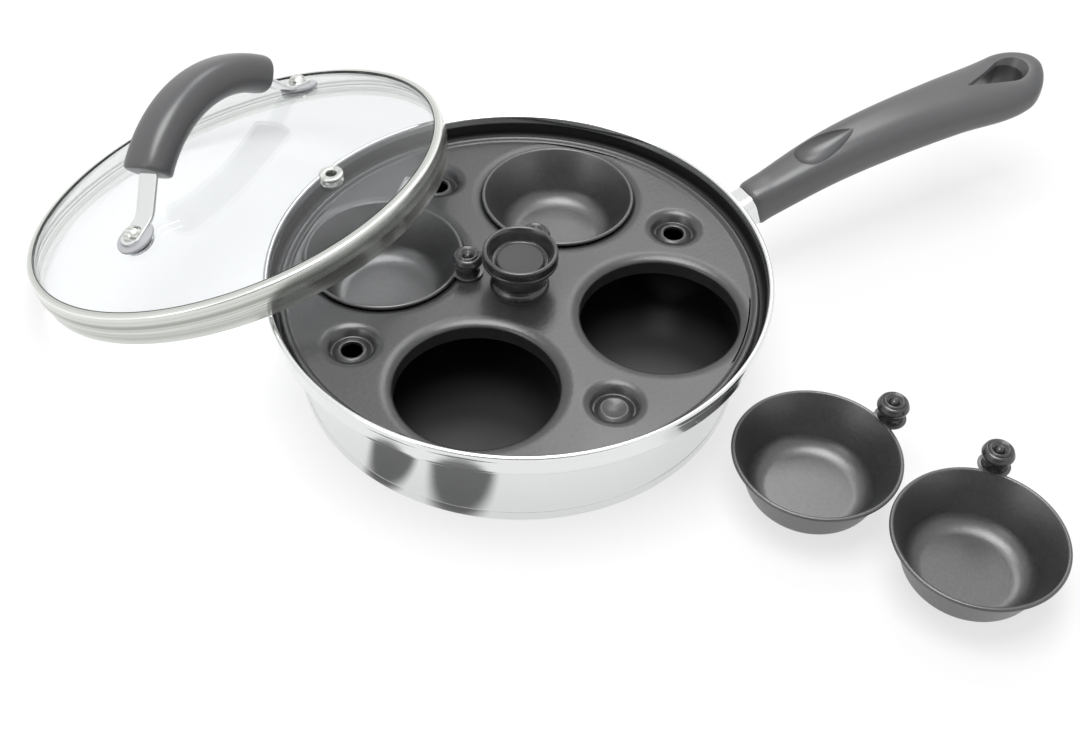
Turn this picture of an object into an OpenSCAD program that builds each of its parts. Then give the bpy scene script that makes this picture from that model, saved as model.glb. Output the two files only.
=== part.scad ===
// Egg poacher pan: a steel pan with a long handle, a poaching tray with four
// lift-out cups, and a glass lid. The tray carries two of its cups, two more
// stand beside the pan, and the lid leans with one edge on the table.
// Origin: middle of the pan's flat base, +Z up, the long handle along +X.

/* [Pan] */
// Outer radius of the rolled lip
lip_r = 104; // [100:0.5:125]
// Height of the lip's top above the table
pan_h = 49.8; // [47:0.1:80]
// Width of the rolled lip, measured along the radius
lip_w = 2.2; // [1.8:0.1:4]
// Height of the rolled lip
lip_h = 3.4; // [2:0.1:5]
// How far the lip stands out from the wall below it
lip_step = 0.9; // [0.4:0.1:1.5]
// Thickness of the pan's steel sheet
pan_wall = 1.2; // [0.8:0.1:2]
// Height from the tray's ledge up to the top of the lip
ledge_drop = 10.8; // [8:0.1:14]
// How far the wall below the ledge lies inside the wall above it
ledge_w = 5.7; // [4.8:0.1:7]
// How far the wall leans in from the ledge down to the foot
wall_lean = 4.2; // [1:0.1:8]
// Radius of the bend between the base and the wall
corner_r = 2.4; // [2:0.1:6]
// Thickness of the dark cooking surface
lining_t = 0.3; // [0.2:0.05:0.5]
// Thickness of the steel cap under the base
capsule_t = 0.6; // [0.4:0.1:1]
// Thickness of the aluminium disc inside the base
core_t = 4.2; // [2:0.1:6]

/* [Long handle] */
// Length of the moulded grip
grip_len = 160; // [140:1:200]
// Distance from the lip to the near end of the grip
grip_gap = 12; // [7:0.5:15]
// How far the middle of the grip's near end lies below the lip's top
grip_drop = 12.3; // [11:0.1:18]
// How far the grip climbs from its near end to its level part
grip_rise = 17; // [8:0.5:24]
// Upward slope of the ferrule, in degrees
root_slope = 19; // [12:1:24]
// Width of the grip at its near end
root_w = 16.5; // [15:0.5:20]
// Depth of the grip at its near end
root_h = 19; // [18:0.5:22]
// Width of the grip at the palm
palm_w = 26; // [24:0.5:34]
// Depth of the grip at the palm
palm_h = 20; // [18:0.5:26]
// Width of the grip near its far end
tail_w = 35; // [30:0.5:44]
// Depth of the grip near its far end
tail_h = 17.5; // [14:0.5:20]
// Width of the thumb scoop
scoop_w = 16; // [12:0.5:20]
// Width of the hanging hole
hang_w = 14; // [10:0.5:18]
// Wall of the steel ferrule
ferrule_t = 1.2; // [0.8:0.1:2]
// Shaft radius of the screw that holds the grip
handle_screw_r = 2.5; // [2:0.1:3]

/* [Poaching tray] */
// Thickness of the tray's sheet
tray_t = 1; // [0.8:0.1:1.2]
// Height of the bead round the tray's edge
bead_rise = 1.35; // [1:0.05:2]
// Radius of the four cup openings
throat_r = 32.6; // [30:0.1:33.5]
// Radius of the rounded entry of an opening
entry_r = 2.5; // [1.5:0.1:2.8]
// Depth of the drawn collar below the tray's face
collar_h = 8; // [5:0.5:12]
// Distance from the tray's middle to the middle of an opening
pitch_r = 59.5; // [59:0.1:60]
// Distance from the tray's middle to the middle of a dimple
dimple_at = 76; // [74:0.5:78]
// Outer radius of a dimple
dimple_r = 14; // [11:0.5:15]
// Depth of a dimple
dimple_d = 4.5; // [3:0.1:6]
// Radius of the vent hole in a dimple
vent_r = 4.4; // [2:0.1:4.6]

/* [Tray knob] */
// Height of the tray knob
knob_h = 18.5; // [16:0.1:24]
// Radius of the tray knob's neck
knob_neck_r = 10.4; // [8:0.1:12]
// Shaft radius of the tray knob's screw
knob_screw_r = 2; // [1.5:0.1:2.5]

/* [Cups] */
// Height of a cup
cup_h = 23.5; // [18:0.5:30]
// Wall thickness of a cup
cup_t = 0.9; // [0.7:0.1:1]
// Radius of the bead round a cup's rim
cup_bead_r = 0.9; // [0.8:0.05:1.1]
// Outer radius of a cup's flat foot
cup_foot_r = 17; // [12:0.5:20]
// Bending radius between the foot and the wall of a cup
cup_bend_r = 10; // [6:0.5:12]
// Distance from a cup's axis to its knob
cup_knob_at = 37; // [36.5:0.1:37.5]
// Largest radius of a cup's knob, and of the tab's round end
cup_knob_r = 6.45; // [5:0.05:6.5]
// Height of a cup's knob above its tab
cup_knob_h = 9.5; // [7:0.1:12]
// Radius of the rivet in a cup's knob
cup_rivet_r = 1.3; // [1:0.1:1.6]

/* [Cups on the table] */
// Direction of the near cup from the pan, in degrees
near_cup_dir = -62.2; // [-75:0.1:-50]
// Gap between the near cup and the pan's lip
near_cup_gap = 1.4; // [1:0.1:10]
// Direction of the far cup from the near one, in degrees
far_cup_dir = -64.6; // [-90:0.1:-40]
// Gap between the two cups' rims
far_cup_gap = 1; // [0.6:0.1:10]

/* [Lid] */
// Outer radius of the lid's band
band_r = 96; // [92:0.2:98]
// Height of the band from its top edge to its skirt's lower edge
band_h = 13; // [11:0.2:18]
// Height of the wide upper part of the band
flange_h = 7; // [6:0.2:9]
// How far the skirt lies inside the wide part of the band
skirt_step = 1.4; // [0.9:0.1:2]
// Thickness of the band's sheet
band_t = 0.7; // [0.5:0.1:1]
// Height of the glass dome above the band's top edge
dome_h = 20.4; // [14:0.2:26]
// Thickness of the glass
glass_t = 3.5; // [3:0.1:4]
// Lean of the lid from level, in degrees
lid_lean = 18.7; // [18.3:0.1:21]
// Direction in which the lid leans, in degrees
lid_dir = 126; // [110:1:140]
// Turn of the lid's handle from square to the lean, in degrees
lid_turn = -3; // [-12:1:12]
// Distance from the lid's middle to its steam vent
lid_vent_at = 65; // [50:1:72]
// Direction of the steam vent on the lid, in degrees
lid_vent_dir = 172; // [150:1:180]

/* [Lid handle] */
// Distance from the lid's middle to each rivet
foot_at = 58.9; // [54:0.1:64]
// Width of the steel strap
strap_w = 9.6; // [8:0.2:12]
// Thickness of the steel strap
strap_t = 1.5; // [1.2:0.1:2]
// Height of the grip's middle above the band's top edge
arch_h = 45.5; // [42:0.5:52]
// Half the length of the lid grip, along the lid
lid_grip_half = 39; // [36:0.5:44]
// Width of the lid grip
lid_grip_w = 20; // [16:0.5:24]
// Depth of the lid grip
lid_grip_h = 17; // [14:0.5:20]
// Shaft radius of the lid's rivets
lid_rivet_r = 2.2; // [1.8:0.1:2.6]

/* [Fits] */
// Gap between flat faces of pieces that lift apart
seat_gap = 0.1; // [0.05:0.05:0.2]
// Gap between rounded faces of pieces that lift apart
slip_gap = 0.3; // [0.25:0.05:0.5]

/* [Hidden] */
$fn = 64;

// The pan's radii, from the lip inwards, and its heights, from the base up
neck_r = lip_r - lip_step;
waist_r = neck_r - ledge_w;
foot_r = waist_r - wall_lean;
base_h = capsule_t + core_t;
ledge_z = pan_h - ledge_drop;
ledge_under = ledge_z - lining_t - pan_wall;
neck_bend = 3.8;
waist_bend = 1.5;
capsule_edge = 0.8;

// The tray, seated on the ledge
tray_z = ledge_z + seat_gap + tray_t;
tray_edge_r = waist_r + 1.8;
bead_r = 1.5;
bead_foot_r = tray_edge_r - 2 * bead_r - 0.8;
collar_r = throat_r + entry_r;
flange_lap = 0.6;
dimple_bend = 1.4;
dimple_ring_r = 7.25;
dimple_ring_h = 1.4;

// A cup: its rim bead rests round the rounded entry of an opening
cup_wall_r = throat_r - 0.7;
cup_bead_at = cup_wall_r + cup_bead_r - 0.2;
cup_rim_r = cup_bead_at + cup_bead_r;
entry_reach = entry_r + cup_bead_r + slip_gap;
bead_over = sqrt(entry_reach * entry_reach - pow(collar_r - cup_bead_at, 2)) - entry_r;
cup_seat_z = tray_z + bead_over + cup_bead_r - cup_h;
ear_t = 0.9;
ear_neck_w = 10.6;

// Where the four cups stand: two in the tray, two on the table
near_cup_at = lip_r + near_cup_gap + cup_rim_r;
near_cup = near_cup_at * [cos(near_cup_dir), sin(near_cup_dir)];
far_cup_at = 2 * cup_rim_r + far_cup_gap;
far_cup = near_cup + far_cup_at * [cos(far_cup_dir), sin(far_cup_dir)];
near_knob_dir = 2.5;
far_knob_dir = 41;

// The tray knob and its fastening
knob_z = tray_z;
knob_lip_r = pitch_r - cup_knob_at - cup_knob_r - slip_gap;
plug_r = 10;
plug_t = 2;
plug_top = knob_h - 4.7;
washer_r = 6.5;
washer_t = 1;
knob_bore_h = knob_h - 9;

// The lid in its own frame: origin at the middle of the band's top edge
glass_r = band_r - band_t - 0.1;
dome_r = (glass_r * glass_r + dome_h * dome_h) / (2 * dome_h);
dome_mid = dome_h - dome_r;
skirt_r = band_r - skirt_step;
foot_angle = asin(foot_at / dome_r);
vent_angle = asin(lid_vent_at / dome_r);
seal_r = 8.5;
seal_t = 1.6;
inner_washer_r = 6.5;
inner_washer_t = 1.3;
inner_face = -glass_t - inner_washer_r * inner_washer_r / (2 * dome_r) - 0.02;
vent_tube_r = 3.6;
vent_flange_r = 5;
grip_end = lid_grip_half - 4;
grip_end_drop = 11;
arch_r = (grip_end * grip_end + grip_end_drop * grip_end_drop) / (2 * grip_end_drop);

// The lid leans until its skirt meets the lip at two places
lean_top = pan_h + 2 * slip_gap;
lean_c = 1 - lean_top / (skirt_r * sin(lid_lean));
lean_s = sqrt(1 - lean_c * lean_c);
lean_in = sqrt(pow(lip_r - lip_w / 4, 2) - pow(skirt_r * lean_s, 2));
lid_at = lean_in - skirt_r * cos(lid_lean) * lean_c;

// Helpers for outlines: arcs, and sheets of one thickness along a line

function unit(v) = v / norm(v);
function arc(c, r, from, to, n = 6) =
    [for (i = [0:n]) let (a = from + (to - from) * i / n) c + r * [cos(a), sin(a)]];
function left_of(v) = unit([-v[1], v[0]]);
function miter(p, i) =
    let (last = len(p) - 1)
    let (a = left_of(i == 0 ? p[1] - p[0] : p[i] - p[i - 1]))
    let (b = left_of(i == last ? p[last] - p[last - 1] : p[i + 1] - p[i]))
    let (m = unit(a + b))
    m / (m * a);
function beside(p, t) = [for (i = [0:len(p) - 1]) p[i] + t * miter(p, i)];
function turned(p) = [for (i = [len(p) - 1:-1:0]) p[i]];
function band_between(p, t0, t1) = concat(beside(p, t0), turned(beside(p, t1)));

// Superellipse section of a grip, across (y) and up (z)
function squircle(n, w, h, soft) =
    [for (i = [0:n - 1]) let (a = 360 * i / n, c = cos(a), s = sin(a))
        [w / 2 * sign(c) * pow(abs(c), soft), h / 2 * sign(s) * pow(abs(s), soft)]];

// Closed skin through rings of equal length
module skin(rings) {
    n = len(rings[0]);
    m = len(rings);
    sides = [for (k = [0:m - 2], i = [0:n - 1], half = [0, 1])
        let (j = (i + 1) % n)
        half == 0 ? [k * n + i, (k + 1) * n + i, k * n + j]
                  : [k * n + j, (k + 1) * n + i, (k + 1) * n + j]];
    near_end = [for (i = [1:n - 2]) [0, i, i + 1]];
    last = (m - 1) * n;
    far_end = [for (i = [1:n - 2]) [last, last + i + 1, last + i]];
    polyhedron([for (r = rings, p = r) p], concat(sides, near_end, far_end), convexity = 6);
}

// Value at x on a smooth curve through stations [x, value]
function smooth_at(st, x, k = 0) =
    k < len(st) - 2 && x > st[k + 1][0] ? smooth_at(st, x, k + 1) :
    let (a = st[max(k - 1, 0)], b = st[k], c = st[k + 1], d = st[min(k + 2, len(st) - 1)])
    let (t = (x - b[0]) / (c[0] - b[0]), w = c[0] - b[0])
    let (mb = (c[1] - a[1]) / (c[0] - a[0]) * w, mc = (d[1] - b[1]) / (d[0] - b[0]) * w)
    (2 * t * t * t - 3 * t * t + 1) * b[1] + (t * t * t - 2 * t * t + t) * mb
    + (3 * t * t - 2 * t * t * t) * c[1] + (t * t * t - t * t) * mc;

// The pan

// Outer line of the pan's sheet, from the middle of the base up to height top
function pan_line(top) = concat(
    [[0, base_h]],
    arc([foot_r - corner_r, base_h + corner_r], corner_r, -90, -wall_slope, 4),
    arc([waist_r + waist_bend, ledge_under - waist_bend], waist_bend, 180 - wall_slope, 90, 4),
    arc([neck_r - neck_bend, ledge_under + neck_bend], neck_bend, -90, 0, 6),
    [[neck_r, top]]
);
wall_slope = atan(wall_lean / (ledge_under - base_h - corner_r));

module rounded_bar(w, h, r) {
    polygon(concat(
        arc([w - r, r], r, -90, 0, 4), arc([w - r, h - r], r, 0, 90, 4),
        arc([r, h - r], r, 90, 180, 4), arc([r, r], r, 180, 270, 4)));
}

module pan_body() {
    color("#c9cbcc")
    rotate_extrude($fn = 96) {
        polygon(band_between(pan_line(pan_h - lip_h / 2), 0, pan_wall));
        translate([lip_r - lip_w, pan_h - lip_h]) rounded_bar(lip_w, lip_h, 0.8);
    }
}

module pan_lining() {
    color("#37383a")
    rotate_extrude($fn = 96)
        polygon(band_between(pan_line(pan_h - lip_h - 0.3), pan_wall, pan_wall + lining_t));
}

module base_core() {
    color("#a9abad")
    translate([0, 0, capsule_t]) cylinder(r = foot_r - capsule_t, h = core_t, $fn = 96);
}

module base_capsule() {
    color("#b9bbbd")
    rotate_extrude($fn = 96)
        polygon(band_between(concat(
            [[0, 0]],
            arc([foot_r - capsule_edge, capsule_edge], capsule_edge, -90, 0, 4),
            [[foot_r, base_h + 0.4]]), 0, capsule_t));
}

// Everything inside the pan's outer face
module pan_outside() {
    rotate_extrude($fn = 96)
        polygon(concat(pan_line(pan_h), [[0, pan_h]]));
}

// The long handle, in a frame that starts at the grip's near end

grip_x = lip_r + grip_gap;
grip_root_z = pan_h - grip_drop;
module at_root() {
    translate([grip_x, 0, grip_root_z]) rotate([0, -root_slope, 0]) children();
}

tongue_len = 30;
tongue_w = 9;
tongue_h = 4;
tongue_screw_at = 21;
screw_seat = tongue_h + 2;
ferrule_w = root_w - 2;
ferrule_h = root_h - 2;
ferrule_len = (grip_x - foot_r) / cos(root_slope) + ferrule_h / 2 * tan(root_slope) + 1;
weld_len = ferrule_len - 12;

module ferrule_section(inset) {
    w = ferrule_w - 2 * inset;
    h = ferrule_h - 2 * inset;
    r = 5 - inset;
    translate([-w / 2, -h / 2]) rounded_bar(w, h, r);
}

// Extrudes a section drawn across the handle, from a to b along its slope
module along_root(a, b) {
    at_root() translate([a, 0, 0]) rotate([90, 0, 90]) linear_extrude(b - a) children();
}

module handle_bracket() {
    color("#b4b6b8")
    difference() {
        union() {
            along_root(-ferrule_len, -weld_len) ferrule_section(ferrule_t + 0.5);
            along_root(-ferrule_len, tongue_len)
                square([tongue_w, tongue_h], center = true);
        }
        pan_outside();
        at_root() translate([tongue_screw_at, 0, -tongue_h])
            cylinder(r = handle_screw_r, h = tongue_h * 2);
    }
}

module handle_ferrule() {
    color("#d3d5d6")
    difference() {
        along_root(-ferrule_len, 0) ferrule_section(0);
        along_root(-ferrule_len - 1, 1) ferrule_section(ferrule_t);
        pan_outside();
    }
}

// Stations along the grip, as shares of its length
grip_climb = [[0, 0], [0.04, 0.13], [0.24, 0.65], [0.43, 0.89], [0.66, 1], [0.86, 1], [1, 1.32]];
grip_wide = [[0, root_w], [0.24, palm_w * 0.88], [0.43, palm_w],
    [0.66, palm_w + (tail_w - palm_w) * 0.54], [0.86, tail_w], [1, tail_w * 0.88]];
grip_deep = [[0, root_h], [0.24, palm_h * 0.97], [0.43, palm_h],
    [0.66, (palm_h + tail_h) / 2 - 1], [0.86, tail_h], [1, tail_h * 0.97]];
tail_len = 16;
grip_n = 28;

// One ring of the grip at share s of its length, shrunk by k at its round ends
function grip_ring(s, k, kh) =
    let (x = grip_len * s, lean = s < 0.05 ? 1 - s / 0.05 : 0)
    let (zc = grip_rise * smooth_at(grip_climb, s))
    [for (p = squircle(grip_n, smooth_at(grip_wide, s) * k, smooth_at(grip_deep, s) * kh, 0.72))
        [grip_x + x - lean * p[1] * tan(root_slope), p[0], grip_root_z + zc + p[1]]];

tail_from = 1 - tail_len / grip_len;
grip_rings = concat(
    [grip_ring(0, 0.84, 0.86), grip_ring(0.012, 1, 1)],
    [for (i = [1:12]) grip_ring(0.012 + (tail_from - 0.012) * i / 12, 1, 1)],
    [for (a = [15:15:75]) grip_ring(tail_from + (1 - tail_from) * sin(a), pow(cos(a), 1.2), sqrt(cos(a)))],
    [grip_ring(1, 0.12, 0.34)]
);

// Teardrop with its round end at the origin and its point at distance len
function teardrop(r, len, n = 14) =
    let (a = acos(r / len))
    concat(arc([0, 0], r, a, 360 - a, n), [[len, 0]]);

scoop_at = 29.5;
scoop_len = 23.5;
scoop_tip_r = 1.4;
scoop_tip_up = 1;
hang_end = 18;
hang_at = grip_len - hang_end;
hang_len = 22;
mouth_depth = 2.2;
mouth_h = 6;
mouth_flare = 1.5;
function grip_top(s) = grip_root_z + grip_rise * smooth_at(grip_climb, s) + smooth_at(grip_deep, s) / 2;

module handle_grip() {
    color("#5f6062")
    difference() {
        skin(grip_rings);
        // dished thumb scoop, pointed away from the pan
        hull() {
            translate([grip_x + scoop_at, 0, grip_top(scoop_at / grip_len) + scoop_w * 0.28])
                sphere(r = scoop_w * 0.57, $fn = 32);
            translate([grip_x + scoop_at + scoop_len, 0,
                       grip_top((scoop_at + scoop_len) / grip_len) + scoop_tip_up])
                sphere(r = scoop_tip_r, $fn = 12);
        }
        // hanging hole, pointed towards the pan
        translate([grip_x + hang_at, 0, 0]) mirror([1, 0, 0])
            linear_extrude(grip_root_z + grip_rise + tail_h)
                polygon(teardrop(hang_w / 2, hang_len));
        // sloped edge round the hole's mouth
        translate([grip_x + hang_at, 0, grip_top(hang_at / grip_len) - mouth_depth]) mirror([1, 0, 0])
            linear_extrude(mouth_h, scale = mouth_flare)
                polygon(teardrop(hang_w / 2, hang_len));
        along_root(-1, tongue_len + 0.5) square([tongue_w, tongue_h], center = true);
        at_root() translate([tongue_screw_at, 0, -root_h])
            cylinder(r = handle_screw_r, h = root_h);
        at_root() translate([tongue_screw_at, 0, -root_h - screw_seat])
            cylinder(r = handle_screw_r * 1.8, h = root_h);
    }
}

module handle_screw() {
    color("#9b9d9f")
    at_root() translate([tongue_screw_at, 0, 0]) {
        translate([0, 0, -screw_seat]) cylinder(r = handle_screw_r, h = tongue_h / 2 + screw_seat);
        difference() {
            translate([0, 0, -screw_seat - handle_screw_r])
                cylinder(r = handle_screw_r * 1.8, h = handle_screw_r);
            for (a = [0, 90]) rotate([0, 0, a]) translate([0, 0, -screw_seat - handle_screw_r])
                cube([handle_screw_r * 2.2, 0.9, 2.4], center = true);
        }
    }
}

// The poaching tray, drawn with its upper face at height 0

// Upper line of the tray, from its middle out over the edge bead
tray_line = concat(
    [[knob_screw_r + 0.6, 0], [bead_foot_r, 0]],
    arc([tray_edge_r - bead_r, bead_rise - bead_r], bead_r, 140, 0, 8),
    [[tray_edge_r, -tray_t]]
);

// Upper line of a drawn collar round a cup opening
collar_line = concat(
    [[throat_r, -collar_h]],
    arc([collar_r, -entry_r], entry_r, 180, 90, 8),
    [[collar_r + flange_lap, 0]]
);

// Upper line of a ringed dimple, from radius inner out to its rounded mouth
function dimple_line(inner, inner_z) = concat(
    [[inner, inner_z], [inner + 0.5, inner_z]],
    arc([dimple_ring_r - 1.6, -dimple_d + dimple_ring_h - 1], 1, 120, 50, 4),
    [[dimple_ring_r, -dimple_d], [dimple_ring_r + 0.9, -dimple_d]],
    arc([dimple_r - dimple_bend, -dimple_bend], dimple_bend, 155, 90, 4),
    [[dimple_r + flange_lap, 0]]
);

module each_opening() {
    for (a = [45:90:315]) rotate([0, 0, a]) translate([pitch_r, 0, 0]) children();
}

module tray_ring(line) {
    rotate_extrude($fn = 72) polygon(band_between(line, -tray_t, 0));
}

module poaching_tray() {
    color("#4a4b4d")
    translate([0, 0, tray_z]) {
        difference() {
            rotate_extrude($fn = 96) polygon(band_between(tray_line, -tray_t, 0));
            each_opening() translate([0, 0, -tray_t * 2])
                cylinder(r = collar_r + flange_lap / 2, h = tray_t * 4, $fn = 72);
            for (a = [0:90:270]) rotate([0, 0, a]) translate([dimple_at, 0, -tray_t * 2])
                cylinder(r = dimple_r + flange_lap / 2, h = tray_t * 4, $fn = 72);
        }
        each_opening() tray_ring(collar_line);
        for (a = [0:90:180]) rotate([0, 0, a]) translate([dimple_at, 0, 0])
            tray_ring(dimple_line(vent_r, -dimple_d + dimple_ring_h - 0.5));
        rotate([0, 0, 270]) translate([dimple_at, 0, 0])
            tray_ring(dimple_line(0, -dimple_d + dimple_ring_h - 0.8));
    }
}

module tray_knob() {
    color("#1d1e20")
    translate([0, 0, knob_z]) difference() {
        rotate_extrude($fn = 72) polygon(concat(
            [[0, 0], [knob_neck_r + 1.6, 0], [knob_neck_r + 1.6, 1]],
            arc([knob_neck_r + 3, 4.4], 3, 230, 160, 4),
            [[knob_neck_r + 0.6, knob_h * 0.46], [knob_lip_r - 2.2, knob_h - 5.6]],
            [[knob_lip_r - 0.6, knob_h - 4.6]],
            arc([knob_lip_r - 0.7, knob_h - 3.6], 0.7, -60, 0, 3),
            arc([knob_lip_r - 1.4, knob_h - 1.1], 1.1, 10, 160, 6),
            [[plug_r + 1.2, plug_top - 0.8], [plug_r, plug_top - 1], [plug_r, plug_top - plug_t]],
            [[0, plug_top - plug_t]]
        ));
        translate([0, 0, -1]) cylinder(r = knob_screw_r, h = knob_bore_h + 1, $fn = 32);
    }
}

module tray_knob_plug() {
    color("#2a2b2d")
    translate([0, 0, knob_z + plug_top - plug_t])
        rotate_extrude($fn = 72)
            polygon(concat([[0, 0], [plug_r, 0]], arc([plug_r - 0.6, plug_t - 0.6], 0.6, 0, 90, 4),
                [[plug_r - 2.2, plug_t], [plug_r - 2.8, plug_t - 0.3], [0, plug_t - 0.3]]));
}

washer_top = tray_z - tray_t;
module tray_knob_washer() {
    color("#a4a6a8")
    translate([0, 0, washer_top - washer_t]) difference() {
        cylinder(r = washer_r, h = washer_t);
        translate([0, 0, -1]) cylinder(r = knob_screw_r, h = washer_t + 2, $fn = 32);
    }
}

module tray_knob_screw() {
    color("#8f9193")
    translate([0, 0, washer_top - washer_t]) difference() {
        rotate_extrude($fn = 32) polygon(concat(
            arc([0, 0], knob_screw_r * 2, -90, -30, 4),
            [[knob_screw_r * 2, 0], [knob_screw_r, 0]],
            [[knob_screw_r, washer_t + tray_t + knob_bore_h], [0, washer_t + tray_t + knob_bore_h]]));
        for (a = [0, 90]) rotate([0, 0, a]) translate([0, 0, -knob_screw_r * 2])
            cube([knob_screw_r * 2.4, 0.8, 2.4], center = true);
    }
}

// The cups, each drawn standing on its foot with its knob towards +X

cup_slope = 90 - atan2(cup_h - cup_bend_r, cup_wall_r - cup_foot_r - cup_bend_r * 0.86);
cup_line = concat(
    [[0, 0]],
    arc([cup_foot_r, cup_bend_r], cup_bend_r, -90, -cup_slope, 8),
    [[cup_wall_r, cup_h - cup_bead_r * 1.4]]
);

module cup_bowl() {
    color("#3a3b3d") {
        rotate_extrude($fn = 72) {
            polygon(band_between(cup_line, 0, cup_t));
            translate([cup_bead_at, cup_h - cup_bead_r]) circle(r = cup_bead_r, $fn = 32);
        }
        // flat tab for the knob
        translate([0, 0, cup_h - ear_t]) difference() {
            linear_extrude(ear_t) {
                translate([cup_knob_at, 0]) circle(r = cup_knob_r);
                translate([cup_wall_r, -ear_neck_w / 2]) square([cup_knob_at - cup_wall_r, ear_neck_w]);
            }
            translate([0, 0, -1]) cylinder(r = cup_wall_r, h = ear_t + 2, $fn = 72);
            translate([cup_knob_at, 0, -1]) cylinder(r = cup_rivet_r, h = ear_t + 2, $fn = 32);
        }
    }
}

module cup_knob() {
    color("#232426")
    translate([cup_knob_at, 0, cup_h]) difference() {
        rotate_extrude($fn = 48) polygon(concat(
            [[0, 0], [cup_knob_r - 1.1, 0], [cup_knob_r - 1.3, 1.2], [cup_knob_r - 0.7, cup_knob_h - 3]],
            arc([cup_knob_r - 0.9, cup_knob_h - 1.9], 0.9, -40, 0, 3),
            arc([cup_knob_r - 1.5, cup_knob_h - 0.9], 0.9, 30, 130, 5),
            [[cup_rivet_r + 1.2, cup_knob_h - 2], [0, cup_knob_h - 2]]));
        translate([0, 0, -1]) cylinder(r = cup_rivet_r, h = cup_knob_h + 2, $fn = 32);
    }
}

module cup_knob_rivet() {
    color("#8d8f91")
    translate([cup_knob_at, 0, cup_h - ear_t])
        rotate_extrude($fn = 32) polygon(concat(
            [[0, 0], [cup_rivet_r, 0], [cup_rivet_r, ear_t + cup_knob_h - 2]],
            [[cup_rivet_r + 0.8, ear_t + cup_knob_h - 2]],
            arc([0, ear_t + cup_knob_h - 2], cup_rivet_r + 0.8, 10, 90, 5)));
}

// Puts a cup's piece where cup n stands
module cup_place(n) {
    if (n <= 2)
        rotate([0, 0, n == 1 ? 135 : 45]) translate([pitch_r, 0, cup_seat_z])
            rotate([0, 0, 180]) children();
    else
        translate(n == 3 ? near_cup : far_cup)
            rotate([0, 0, n == 3 ? near_knob_dir : far_knob_dir]) children();
}

// The lid, drawn in its own frame and then leaned on the pan

module lid_place() {
    rotate([0, 0, lid_dir])
        translate([lid_at, 0, skirt_r * sin(lid_lean)])
            rotate([0, lid_lean, 0])
                translate([0, 0, band_h])
                    rotate([0, 0, lid_turn]) children();
}

// Puts a child on the dome, at an angle from its top, in direction dir
module on_dome(angle, dir) {
    rotate([0, 0, dir]) translate([0, 0, dome_mid]) rotate([0, angle, 0])
        translate([0, 0, dome_r]) children();
}

module each_foot() {
    for (dir = [90, 270]) on_dome(foot_angle, dir) children();
}

module dome_ball(r) {
    translate([0, 0, dome_mid]) sphere(r = r, $fn = 360);
}

module lid_glass() {
    color("#dfe6e8", 0.35)
    lid_place() difference() {
        intersection() {
            dome_ball(dome_r);
            translate([0, 0, -glass_t * 1.5]) cylinder(r = glass_r, h = dome_h + glass_t * 2, $fn = 96);
        }
        dome_ball(dome_r - glass_t);
        each_foot() translate([0, 0, -glass_t * 2]) cylinder(r = lid_rivet_r, h = glass_t * 3, $fn = 32);
        rotate([0, 0, -lid_turn]) on_dome(vent_angle, lid_vent_dir) translate([0, 0, -glass_t * 2])
            cylinder(r = vent_tube_r, h = glass_t * 3, $fn = 32);
    }
}

// Height of the glass's upper face at radius r, and of its lower face
function dome_z(r, drop = 0) = sqrt(pow(dome_r - drop, 2) - r * r) + dome_mid;

hook_in = band_r - 3.4;
hold_in = band_r - 4.2;
module lid_band() {
    color("#d6d8d6")
    lid_place() rotate_extrude($fn = 96) polygon(concat(
        [[hook_in, dome_z(hook_in) + 0.03], [hook_in, dome_z(hook_in) + band_t]],
        arc([band_r - 1.2, 0.1], 1.2, 70, 0, 4),
        [[band_r, -flange_h + 0.8], [band_r - 0.3, -flange_h + 0.2], [skirt_r, -flange_h - 0.4]],
        [[skirt_r, -band_h], [skirt_r - band_t, -band_h], [skirt_r - band_t, -flange_h - 0.2]],
        [[hold_in, dome_z(hold_in, glass_t) - band_t], [hold_in, dome_z(hold_in, glass_t) - 0.03]],
        [[band_r - band_t, dome_z(band_r - band_t, glass_t) - 0.03], [band_r - band_t, 0.03]],
        [[glass_r, 0.03]]
    ));
}

module lid_vent_eyelet() {
    color("#d8dadb")
    lid_place() rotate([0, 0, -lid_turn]) on_dome(vent_angle, lid_vent_dir)
        rotate_extrude($fn = 48) polygon(concat(
            [[vent_tube_r, -glass_t], [vent_tube_r, 0.1], [vent_flange_r, 0.1]],
            arc([vent_flange_r - 0.9, 0.9], 0.9, 0, 90, 4),
            arc([vent_tube_r - 0.6, 0.9], 0.9, 100, 180, 4),
            [[vent_tube_r - 1.5, -glass_t - 1], [vent_flange_r - 0.2, -glass_t - 1]],
            [[vent_flange_r - 0.2, -glass_t - 0.15]]));
}

// Lower line of the strap: foot, rise and arch, for the half towards +X
strap_lift = dome_r + seal_t;
foot_dir = [cos(foot_angle), -sin(foot_angle)];
foot_mid = [sin(foot_angle), cos(foot_angle)] * strap_lift + [0, dome_mid];
arch_mid = arch_h - arch_r;
arch_end = asin(grip_end / arch_r);
strap_half = concat(
    [foot_mid + 5.6 * foot_dir, foot_mid - 10 * foot_dir],
    arc([0, arch_mid - strap_t / 2], arch_r, 90 - arch_end, 90, 6)
);
function flip_x(p) = [for (i = [len(p) - 2:-1:0]) [-p[i][0], p[i][1]]];
strap_line = concat(strap_half, flip_x(strap_half));

module strap_bar(w) {
    rotate([90, 0, 90]) translate([0, 0, -w / 2]) linear_extrude(w)
        polygon(band_between(strap_line, -strap_t, 0));
}

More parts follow.
